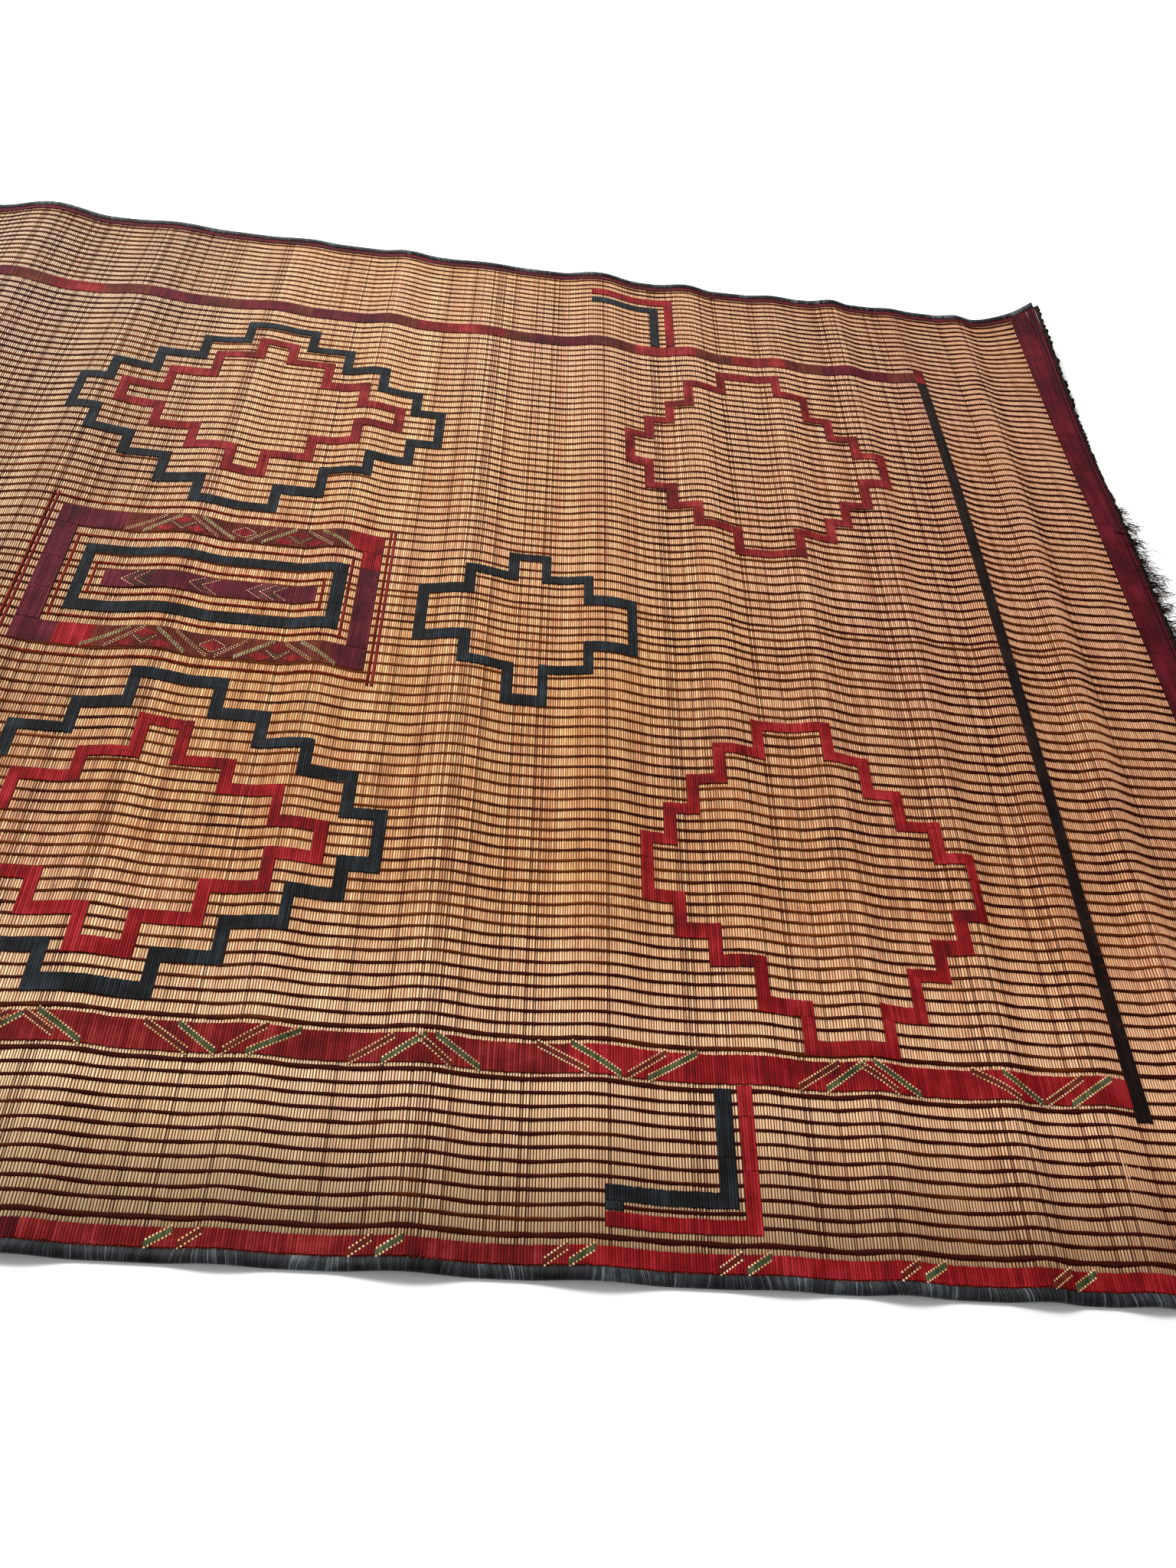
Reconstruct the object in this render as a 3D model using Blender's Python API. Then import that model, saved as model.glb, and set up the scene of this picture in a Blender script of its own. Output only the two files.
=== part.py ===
"""A mat of reeds and leather, lying on a floor in low folds with one far corner curled up.

X runs along the mat, Y across it and Z up, in metres. Every piece is made flat first, in lengths along
the mat (s), places across it (y) and heights over its underside (up), and is then laid down on its folds.
"""

import math
import random
from collections import namedtuple

import bmesh
import bpy

# Reed panel
PANEL_HALF_LENGTH = 1.4810
PANEL_HALF_WIDTH = 0.9857
PANEL_THICKNESS = 0.0040

# Rolled leather bindings over the two long edges
BINDING_WIDTH = 0.0140
BINDING_SHOULDER = 0.0045
BINDING_CROWN = 0.0075
BINDING_ROUND = 0.0035

# Leather strips over the two ends, and the fringes beyond them
STRIP_WIDTH = 0.0157
STRIP_THICKNESS = 0.0050
BACKING_WIDTH = 0.0060
BACKING_THICKNESS = 0.0045
STRANDS = 100
STRAND_WIDTH = 0.0062
STRAND_TIP_WIDTH = 0.0030
STRAND_THICKNESS = 0.0030
STRAND_LENGTH = 0.0370
STRAND_SHORT_LENGTH = 0.0130
STRAND_SWAY = 0.0055
STRAND_STEPS = 3
SEED = 11

# Parting between neighbouring pieces
PARTING = 0.0003

# Far right corner, which curls up off the floor
CURL_START = 1.3500
CURL_FROM_Y = 0.4600
CURL_RUN = 0.1500
CURL_TURN = math.radians(47.0)

# The right end is drawn in a little towards that corner
DRAWN_IN = 0.0180
DRAWN_FROM_Y = 0.4000
DRAWN_FROM_S = 1.0000

# Places across the mat where a fold's middle and rise are given
FOLD_NEAR_Y = -0.850
FOLD_MIDDLE_Y = 0.000
FOLD_FAR_Y = 0.950
FOLD_SHARES = (-1.0, -0.66, -0.33, 0.0, 0.33, 0.66, 1.0)

Fold = namedtuple("Fold", "near middle far rise_near rise_middle rise_far reach_left reach_right")

# One row for each fold, from the left end to the right: its crest's place along the mat and its rise,
# each at the three places across, and how far it reaches to either side before the mat is on the floor
FOLDS = (
    Fold(-1.310, -1.315, -1.305, 0.005, 0.006, 0.007, 0.070, 0.075),
    Fold(-1.130, -1.125, -1.135, 0.008, 0.007, 0.005, 0.080, 0.080),
    Fold(-0.950, -0.955, -0.945, 0.006, 0.006, 0.008, 0.075, 0.080),
    Fold(-0.760, -0.755, -0.765, 0.007, 0.008, 0.006, 0.085, 0.080),
    Fold(-0.520, -0.515, -0.490, 0.008, 0.010, 0.018, 0.115, 0.110),
    Fold(-0.290, -0.282, -0.256, 0.006, 0.012, 0.005, 0.090, 0.095),
    Fold(0.000, -0.050, 0.000, 0.009, 0.009, 0.004, 0.085, 0.068),
    Fold(0.190, 0.174, 0.190, 0.006, 0.009, 0.006, 0.055, 0.065),
    Fold(0.374, 0.374, 0.350, 0.010, 0.011, 0.003, 0.078, 0.078),
    Fold(0.566, 0.582, 0.574, 0.009, 0.010, 0.011, 0.080, 0.082),
    Fold(0.758, 0.750, 0.750, 0.005, 0.010, 0.008, 0.068, 0.058),
    Fold(0.886, 0.894, 0.926, 0.008, 0.009, 0.004, 0.052, 0.060),
    Fold(1.038, 1.062, 1.054, 0.008, 0.006, 0.007, 0.052, 0.043),
    Fold(1.150, 1.190, 1.182, 0.007, 0.011, 0.003, 0.046, 0.050),
    Fold(1.278, 1.302, 1.326, 0.009, 0.011, 0.006, 0.044, 0.043),
    Fold(1.402, 1.406, 1.416, 0.003, 0.003, 0.001, 0.036, 0.038),
)

# Lines across the mat, closer together where the corner curls
ROWS = (-1.0, -0.76, -0.52, -0.27, 0.0, 0.24, 0.46, 0.62, 0.75, 0.86, 0.94, 1.0)

Drift = namedtuple("Drift", "along off")

# How far the far edge bows off a straight line, at lengths along the mat
FAR_EDGE = (
    Drift(-1.500, 0.000),
    Drift(-0.650, 0.001),
    Drift(-0.340, 0.009),
    Drift(0.050, 0.004),
    Drift(0.400, -0.003),
    Drift(0.800, -0.009),
    Drift(1.100, 0.003),
    Drift(1.500, 0.000),
)
BOW_FROM_Y = 0.700

Finish = namedtuple("Finish", "name colour roughness")

REED = Finish("reed", (0.655, 0.418, 0.215, 1.0), 0.62)
BLACK_LEATHER = Finish("black_leather", (0.020, 0.026, 0.030, 1.0), 0.50)
RED_LEATHER = Finish("red_leather", (0.190, 0.016, 0.022, 1.0), 0.48)
FRINGE_LEATHER = Finish("fringe_leather", (0.035, 0.022, 0.018, 1.0), 0.60)


def across(near, middle, far, y):
    """Value at y of the even curve through the values at the three places across the mat."""
    y = max(FOLD_NEAR_Y, min(FOLD_FAR_Y, y))
    a, b, c = FOLD_NEAR_Y, FOLD_MIDDLE_Y, FOLD_FAR_Y
    share_near = (y - b) * (y - c) / ((a - b) * (a - c))
    share_middle = (y - a) * (y - c) / ((b - a) * (b - c))
    share_far = (y - a) * (y - b) / ((c - a) * (c - b))
    return near * share_near + middle * share_middle + far * share_far


def crest(fold, y):
    """Place along the mat of a fold's crest at y."""
    return across(fold.near, fold.middle, fold.far, y)


def fold_height(s, y):
    """Height of the mat's underside over the floor from its folds."""
    height = 0.0
    for fold in FOLDS:
        run = s - crest(fold, y)
        reach = fold.reach_right if run > 0.0 else fold.reach_left
        if abs(run) < reach:
            rise = max(0.0, across(fold.rise_near, fold.rise_middle, fold.rise_far, y))
            height += rise * math.cos(0.5 * math.pi * run / reach) ** 2
    return height


def curl_turn(y):
    """Angle through which the right end has turned up at y."""
    share = (y - CURL_FROM_Y) / (1.0 - CURL_FROM_Y)
    share = max(0.0, min(1.0, share))
    return CURL_TURN * share * share


def bow(s, y):
    """How far a point near the far edge lies off its straight line."""
    share_y = max(0.0, y - BOW_FROM_Y) / (1.0 - BOW_FROM_Y)
    for left, right in zip(FAR_EDGE, FAR_EDGE[1:]):
        if left.along <= s <= right.along:
            share = (s - left.along) / (right.along - left.along)
            share = share * share * (3.0 - 2.0 * share)
            return share_y * (left.off + (right.off - left.off) * share)
    return 0.0


def drawn_in(s, y):
    """How far a point near the right end lies short of its flat place."""
    share_y = max(0.0, y - DRAWN_FROM_Y) / (1.0 - DRAWN_FROM_Y)
    share_s = max(0.0, s - DRAWN_FROM_S) / (PANEL_HALF_LENGTH - DRAWN_FROM_S)
    return DRAWN_IN * share_y * min(1.0, share_s)


def lay(s, y, up):
    """Place of a point of the flat mat once the mat lies in its folds."""
    height = fold_height(s, y)
    short = drawn_in(s, y)
    turn = curl_turn(y)
    y += bow(s, y)
    run = s - CURL_START
    if run <= 0.0 or turn < 0.001:
        return s - short, y, height + up
    radius = CURL_RUN / turn
    angle = run / radius
    x = CURL_START - short + (radius - up) * math.sin(angle)
    z = height + radius * (1.0 - math.cos(angle)) + up * math.cos(angle)
    return x, y, z


def stations(y, end):
    """Lengths along the mat at which a lengthways piece is cut at y, following the folds' crests."""
    lines = [-end]
    for fold in FOLDS:
        for share in FOLD_SHARES:
            reach = fold.reach_left if share < 0.0 else fold.reach_right
            lines.append(crest(fold, y) + share * reach)
    lines.append(end)
    return lines


def sweep(bm, section, steps):
    """Extrudes a section, given as (y, up) points, by unit steps along X."""
    verts = [bm.verts.new((0.0, y, up)) for y, up in section]
    face = bm.faces.new(verts)
    for step in range(steps):
        out = bmesh.ops.extrude_face_region(bm, geom=[face])
        moved = [item for item in out["geom"] if isinstance(item, bmesh.types.BMVert)]
        bmesh.ops.translate(bm, verts=moved, vec=(1.0, 0.0, 0.0))
        if step > 0:
            bmesh.ops.delete(bm, geom=[face], context="FACES_ONLY")
        face = next(item for item in out["geom"] if isinstance(item, bmesh.types.BMFace))


def finish_body(name, bm, finish):
    """Turns a laid piece into a named object with its material."""
    bmesh.ops.recalc_face_normals(bm, faces=bm.faces[:])
    mesh = bpy.data.meshes.new(name)
    bm.to_mesh(mesh)
    bm.free()
    material = bpy.data.materials.get(finish.name)
    if material is None:
        material = bpy.data.materials.new(finish.name)
        material.use_nodes = True
        shader = material.node_tree.nodes["Principled BSDF"]
        shader.inputs["Base Color"].default_value = finish.colour
        shader.inputs["Roughness"].default_value = finish.roughness
        shader.inputs["Metallic"].default_value = 0.0
    mesh.materials.append(material)
    body = bpy.data.objects.new(name, mesh)
    bpy.context.scene.collection.objects.link(body)
    return body


def lengthways(name, section, end, finish):
    """A piece that runs along the mat, cut at the folds' stations and laid on them."""
    bm = bmesh.new()
    sweep(bm, section, len(FOLDS) * len(FOLD_SHARES) + 1)
    for vert in bm.verts:
        s = stations(vert.co.y, end)[round(vert.co.x)]
        vert.co = lay(s, vert.co.y, vert.co.z)
    return finish_body(name, bm, finish)


def make_panel():
    """The woven reed panel, one sheet with its thongs and leather strips."""
    rows = [row * PANEL_HALF_WIDTH for row in ROWS]
    under = [(row, 0.0) for row in rows]
    over = [(row, PANEL_THICKNESS) for row in reversed(rows)]
    return lengthways("reed_panel", under + over, PANEL_HALF_LENGTH, REED)


def make_binding(name, side):
    """A rolled leather binding along one long edge, crowned on top and flat below."""
    inner = PANEL_HALF_WIDTH + PARTING
    outer = inner + BINDING_WIDTH
    profile = (
        (inner, 0.0),
        (outer, 0.0),
        (outer, BINDING_SHOULDER),
        (outer - BINDING_ROUND, BINDING_CROWN),
        (inner + BINDING_ROUND, BINDING_CROWN),
        (inner, BINDING_SHOULDER),
    )
    section = [(side * y, up) for y, up in profile]
    end = PANEL_HALF_LENGTH + PARTING + STRIP_WIDTH
    return lengthways(name, section, end, BLACK_LEATHER)


def crossways(bm, inner, outer, thickness, places):
    """Sweeps a strip across the mat: made along X, then turned so that its steps are places across."""
    section = ((inner, 0.0), (outer, 0.0), (outer, thickness), (inner, thickness))
    sweep(bm, section, len(places) - 1)
    for vert in bm.verts:
        vert.co = (vert.co.y, places[round(vert.co.x)], vert.co.z)


def lay_down(bm, side):
    """Lays a crosswise piece on the mat's folds, on the right (1) or the left (-1) end."""
    for vert in bm.verts:
        vert.co = lay(side * vert.co.x, vert.co.y, vert.co.z)


def make_end_strip(name, side):
    """A leather strip over one end of the panel, between the bindings."""
    inner = PANEL_HALF_LENGTH + PARTING
    bm = bmesh.new()
    places = [row * PANEL_HALF_WIDTH for row in ROWS]
    crossways(bm, inner, inner + STRIP_WIDTH, STRIP_THICKNESS, places)
    lay_down(bm, side)
    return finish_body(name, bm, RED_LEATHER)


def strand_length(y, side):
    """Strands are short where the fringe is tucked in at the curled corner."""
    turned = curl_turn(y) if side > 0.0 else 0.0
    share = min(1.0, turned / (0.10 * CURL_TURN))
    return STRAND_LENGTH + (STRAND_SHORT_LENGTH - STRAND_LENGTH) * share


def make_fringe(name, side, seed):
    """A narrow leather backing beyond one end strip, with its strands drawn out of its outer side."""
    rng = random.Random(seed)
    inner = PANEL_HALF_LENGTH + 2.0 * PARTING + STRIP_WIDTH
    outer = inner + BACKING_WIDTH
    pitch = 2.0 * PANEL_HALF_WIDTH / STRANDS
    places = [-PANEL_HALF_WIDTH]
    for strand in range(STRANDS):
        middle = -PANEL_HALF_WIDTH + (strand + 0.5) * pitch + rng.uniform(-0.15, 0.15) * pitch
        places.append(middle - 0.5 * STRAND_WIDTH)
        places.append(middle + 0.5 * STRAND_WIDTH)
    places.append(PANEL_HALF_WIDTH)
    bm = bmesh.new()
    crossways(bm, inner, outer, BACKING_THICKNESS, places)
    roots = []
    for face in bm.faces:
        middle = face.calc_center_median()
        width = max(v.co.y for v in face.verts) - min(v.co.y for v in face.verts)
        if middle.x > outer - 1e-5 and abs(width - STRAND_WIDTH) < 1e-5:
            roots.append(face)
    roots.sort(key=lambda face: face.calc_center_median().y)
    for root in roots:
        draw_strand(bm, root, side, rng)
    lay_down(bm, side)
    return finish_body(name, bm, FRINGE_LEATHER)


def draw_strand(bm, root, side, rng):
    """Draws one strand out of a root face in a few steps, narrowing and swaying to one side and back."""
    middle = root.calc_center_median()
    length = strand_length(middle.y, side) * rng.uniform(0.78, 1.18)
    sway = STRAND_SWAY * rng.uniform(-1.0, 1.0) * length / STRAND_LENGTH
    hook = rng.uniform(-0.4, 1.0)
    face = root
    for step in range(1, STRAND_STEPS + 1):
        share = step / STRAND_STEPS
        face = bmesh.ops.extrude_discrete_faces(bm, faces=[face])["faces"][0]
        half = 0.5 * (STRAND_WIDTH + (STRAND_TIP_WIDTH - STRAND_WIDTH) * share)
        centre = middle.y + sway * math.sin(math.pi * (0.35 + hook * 0.4) * share)
        thickness = STRAND_THICKNESS * (1.0 - 0.35 * share)
        for vert in face.verts:
            sign = 1.0 if vert.co.y > face_middle(face) else -1.0
            up = thickness if vert.co.z > 0.5 * STRAND_THICKNESS * (1.0 - 0.35) else 0.0
            vert.tag = sign > 0.0
            vert.co.z = up
        for vert in face.verts:
            vert.co.x = middle.x + length * share
            vert.co.y = centre + (half if vert.tag else -half)


def face_middle(face):
    """Middle of a face across the mat."""
    return face.calc_center_bounds().y


def main():
    """Builds every piece of the mat."""
    for old in list(bpy.data.objects):
        bpy.data.objects.remove(old, do_unlink=True)
    make_panel()
    make_binding("binding_near", -1.0)
    make_binding("binding_far", 1.0)
    make_end_strip("end_strip_right", 1.0)
    make_end_strip("end_strip_left", -1.0)
    make_fringe("fringe_right", 1.0, SEED)
    make_fringe("fringe_left", -1.0, SEED + 1)


main()
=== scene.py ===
"""A reed mat with leather thongs, inlay, bindings and fringe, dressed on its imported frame.

The reeds run across the mat and the thongs along it. Each piece is made flat, in metres along (s), across (y)
and up from the underside, and is then laid in the folds that the part's own source gives the mat.
"""

import logging
import math
from dataclasses import dataclass, field
from enum import Enum

import bmesh
import bpy
import numpy as np
from mathutils import Matrix, Vector


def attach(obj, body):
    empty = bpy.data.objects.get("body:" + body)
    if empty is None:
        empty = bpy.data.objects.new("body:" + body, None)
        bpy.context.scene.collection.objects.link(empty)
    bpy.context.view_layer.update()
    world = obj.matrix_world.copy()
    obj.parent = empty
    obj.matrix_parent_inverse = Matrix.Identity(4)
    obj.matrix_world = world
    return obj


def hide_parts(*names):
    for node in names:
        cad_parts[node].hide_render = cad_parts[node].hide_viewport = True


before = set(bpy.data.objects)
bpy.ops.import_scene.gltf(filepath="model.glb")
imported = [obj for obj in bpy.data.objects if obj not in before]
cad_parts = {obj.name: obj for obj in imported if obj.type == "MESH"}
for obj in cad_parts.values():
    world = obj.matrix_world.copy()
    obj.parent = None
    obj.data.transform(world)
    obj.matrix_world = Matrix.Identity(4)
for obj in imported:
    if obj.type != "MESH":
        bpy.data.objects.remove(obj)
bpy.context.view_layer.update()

LOG = logging.getLogger("reed_mat")
MM = 0.001
# A little over one turn, in radians, for the random starts of waves.
TURN = 6.3
# Height of a hexagon's and of a square's corners, on a circle of 1.
HEXAGON = 0.866
SQUARE = 0.7071


# How the mat lies


@dataclass(frozen=True)
class Fold:
    """One soft fold across the mat: its crest's place, rise and reach."""

    near: float
    middle: float
    far: float
    rise_near: float
    rise_middle: float
    rise_far: float
    reach_left: float
    reach_right: float


@dataclass(frozen=True)
class Lay:
    """The way in which the mat lies, with the same values as the part's source."""

    panel_half_length: float = 1.4810
    panel_half_width: float = 0.9857
    curl_start: float = 1.3500
    curl_from_y: float = 0.4600
    curl_run: float = 0.1500
    curl_turn: float = math.radians(47.0)
    drawn_in: float = 0.0180
    drawn_from_y: float = 0.4000
    drawn_from_s: float = 1.0000
    bow_from_y: float = 0.700
    places: tuple[float, float, float] = (-0.850, 0.000, 0.950)
    far_edge: tuple[tuple[float, float], ...] = (
        (-1.500, 0.000),
        (-0.650, 0.001),
        (-0.340, 0.009),
        (0.050, 0.004),
        (0.400, -0.003),
        (0.800, -0.009),
        (1.100, 0.003),
        (1.500, 0.000),
    )
    folds: tuple[Fold, ...] = (
        Fold(-1.310, -1.315, -1.305, 0.005, 0.006, 0.007, 0.070, 0.075),
        Fold(-1.130, -1.125, -1.135, 0.008, 0.007, 0.005, 0.080, 0.080),
        Fold(-0.950, -0.955, -0.945, 0.006, 0.006, 0.008, 0.075, 0.080),
        Fold(-0.760, -0.755, -0.765, 0.007, 0.008, 0.006, 0.085, 0.080),
        Fold(-0.520, -0.515, -0.490, 0.008, 0.010, 0.018, 0.115, 0.110),
        Fold(-0.290, -0.282, -0.256, 0.006, 0.012, 0.005, 0.090, 0.095),
        Fold(0.000, -0.050, 0.000, 0.009, 0.009, 0.004, 0.085, 0.068),
        Fold(0.190, 0.174, 0.190, 0.006, 0.009, 0.006, 0.055, 0.065),
        Fold(0.374, 0.374, 0.350, 0.010, 0.011, 0.003, 0.078, 0.078),
        Fold(0.566, 0.582, 0.574, 0.009, 0.010, 0.011, 0.080, 0.082),
        Fold(0.758, 0.750, 0.750, 0.005, 0.010, 0.008, 0.068, 0.058),
        Fold(0.886, 0.894, 0.926, 0.008, 0.009, 0.004, 0.052, 0.060),
        Fold(1.038, 1.062, 1.054, 0.008, 0.006, 0.007, 0.052, 0.043),
        Fold(1.150, 1.190, 1.182, 0.007, 0.011, 0.003, 0.046, 0.050),
        Fold(1.278, 1.302, 1.326, 0.009, 0.011, 0.006, 0.044, 0.043),
        Fold(1.402, 1.406, 1.416, 0.003, 0.003, 0.001, 0.036, 0.038),
    )

    def across(self, near: float, middle: float, far: float, y: np.ndarray) -> np.ndarray:
        """Even curve through the values at the three places across the mat.

        Args:
            near: Value at the near place.
            middle: Value at the middle place.
            far: Value at the far place.
            y: Places across the mat.

        Returns:
            The values at y.
        """
        a, b, c = self.places
        y = np.clip(y, a, c)
        share_near = (y - b) * (y - c) / ((a - b) * (a - c))
        share_middle = (y - a) * (y - c) / ((b - a) * (b - c))
        share_far = (y - a) * (y - b) / ((c - a) * (c - b))
        return near * share_near + middle * share_middle + far * share_far

    def height(self, s: np.ndarray, y: np.ndarray) -> np.ndarray:
        """Height of the mat's underside over the floor from its folds.

        Args:
            s: Places along the mat.
            y: Places across the mat.

        Returns:
            The heights.
        """
        total = np.zeros_like(s)
        for fold in self.folds:
            run = s - self.across(fold.near, fold.middle, fold.far, y)
            reach = np.where(run > 0.0, fold.reach_right, fold.reach_left)
            rise = np.maximum(0.0, self.across(fold.rise_near, fold.rise_middle, fold.rise_far, y))
            share = np.clip(np.abs(run) / reach, 0.0, 1.0)
            total += rise * np.cos(0.5 * math.pi * share) ** 2
        return total

    def turn(self, y: np.ndarray) -> np.ndarray:
        """Angle through which the right end has turned up at y."""
        share = np.clip((y - self.curl_from_y) / (1.0 - self.curl_from_y), 0.0, 1.0)
        return self.curl_turn * share * share

    def bow(self, s: np.ndarray, y: np.ndarray) -> np.ndarray:
        """How far a point near the far edge lies off its straight line.

        Args:
            s: Places along the mat.
            y: Places across the mat.

        Returns:
            The distances.
        """
        share_y = np.maximum(0.0, y - self.bow_from_y) / (1.0 - self.bow_from_y)
        off = np.zeros_like(s)
        for (left, off_left), (right, off_right) in zip(self.far_edge, self.far_edge[1:]):
            inside = (s >= left) & (s <= right)
            share = (s - left) / (right - left)
            share = share * share * (3.0 - 2.0 * share)
            off = np.where(inside, off_left + (off_right - off_left) * share, off)
        return share_y * off

    def short(self, s: np.ndarray, y: np.ndarray) -> np.ndarray:
        """How far a point near the right end lies short of its flat place.

        Args:
            s: Places along the mat.
            y: Places across the mat.

        Returns:
            The distances.
        """
        share_y = np.maximum(0.0, y - self.drawn_from_y) / (1.0 - self.drawn_from_y)
        share_s = np.maximum(0.0, s - self.drawn_from_s) / (self.panel_half_length - self.drawn_from_s)
        return self.drawn_in * share_y * np.minimum(1.0, share_s)

    def place(self, s: np.ndarray, y: np.ndarray, up: np.ndarray) -> np.ndarray:
        """Lays points of the flat mat in its folds.

        Args:
            s: Places along the mat.
            y: Places across the mat.
            up: Heights over the mat's underside.

        Returns:
            An array whose last axis is x, y and z.
        """
        s, y, up = np.broadcast_arrays(s, y, up)
        height = self.height(s, y)
        short = self.short(s, y)
        turn = self.turn(y)
        run = s - self.curl_start
        curls = (run > 0.0) & (turn >= 0.001)
        radius = self.curl_run / np.where(curls, turn, 1.0)
        angle = np.where(curls, run / radius, 0.0)
        x = np.where(curls, self.curl_start + (radius - up) * np.sin(angle), s) - short
        z = height + np.where(curls, radius * (1.0 - np.cos(angle)) + up * np.cos(angle), up)
        return np.stack((x, y + self.bow(s, y), z), axis=-1)


LAY = Lay()


# Finishes

SCALED_SUM = {"operation": "MULTIPLY_ADD"}
BLEND = {"data_type": "RGBA"}
TIMES = {"data_type": "RGBA", "blend_type": "MULTIPLY"}
SMOOTH = {"interpolation_type": "SMOOTHSTEP"}


def linear(code: str) -> tuple[float, float, float, float]:
    """Turns an sRGB hex colour to a linear one.

    Args:
        code: Six hex digits after a hash.

    Returns:
        Red, green, blue and an alpha of 1.
    """
    parts = [int(code[i : i + 2], 16) / 255.0 for i in (1, 3, 5)]
    parts = [p / 12.92 if p <= 0.04045 else ((p + 0.055) / 1.055) ** 2.4 for p in parts]
    return (parts[0], parts[1], parts[2], 1.0)


def fill(node: bpy.types.Node, inputs: dict[str | int, object]) -> None:
    """Sets each input of a node to a value, or links it to another node's output.

    Args:
        node: The node.
        inputs: A value or an output socket for each input.
    """
    for key, value in inputs.items():
        if isinstance(value, bpy.types.NodeSocket):
            node.id_data.links.new(value, node.inputs[key])
        else:
            node.inputs[key].default_value = value


def add(
    tree: bpy.types.NodeTree,
    kind: str,
    settings: dict[str, object] | None = None,
    inputs: dict[str | int, object] | None = None,
    out: str | int = 0,
) -> bpy.types.NodeSocket:
    """Adds a node with its settings, values and links.

    Args:
        tree: The material's node tree.
        kind: The node's type, after ShaderNode.
        settings: Properties of the node; stops gives a colour ramp's (place, hex colour) pairs.
        inputs: A value or another node's output for each input.
        out: Which of its outputs is wanted.

    Returns:
        That output.
    """
    node = tree.nodes.new(f"ShaderNode{kind}")
    for key, value in (settings or {}).items():
        if key != "stops":
            setattr(node, key, value)
            continue
        elements = node.color_ramp.elements
        while len(elements) < len(value):
            elements.new(1.0)
        for element, (place, colour) in zip(elements, value):
            element.position = place
            element.color = linear(colour)
    fill(node, inputs or {})
    return node.outputs[out]


def begin(name: str) -> tuple[bpy.types.Material, bpy.types.NodeTree, bpy.types.NodeSocket]:
    """Starts a material.

    Args:
        name: The material's name.

    Returns:
        The material, its tree and its Object coordinates.
    """
    material = bpy.data.materials.new(name)
    material.use_nodes = True
    return material, material.node_tree, add(material.node_tree, "TexCoord", out="Object")


def read_tone(tree: bpy.types.NodeTree) -> dict[str, bpy.types.NodeSocket]:
    """Reads the piece's own tone attribute.

    Args:
        tree: The material's node tree.

    Returns:
        Its red, green and blue parts by name.
    """
    colour = add(tree, "Attribute", {"attribute_name": "tone"})
    parts = add(tree, "SeparateColor", inputs={"Color": colour}).node.outputs
    return {name: parts[name] for name in ("Red", "Green", "Blue")}


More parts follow.
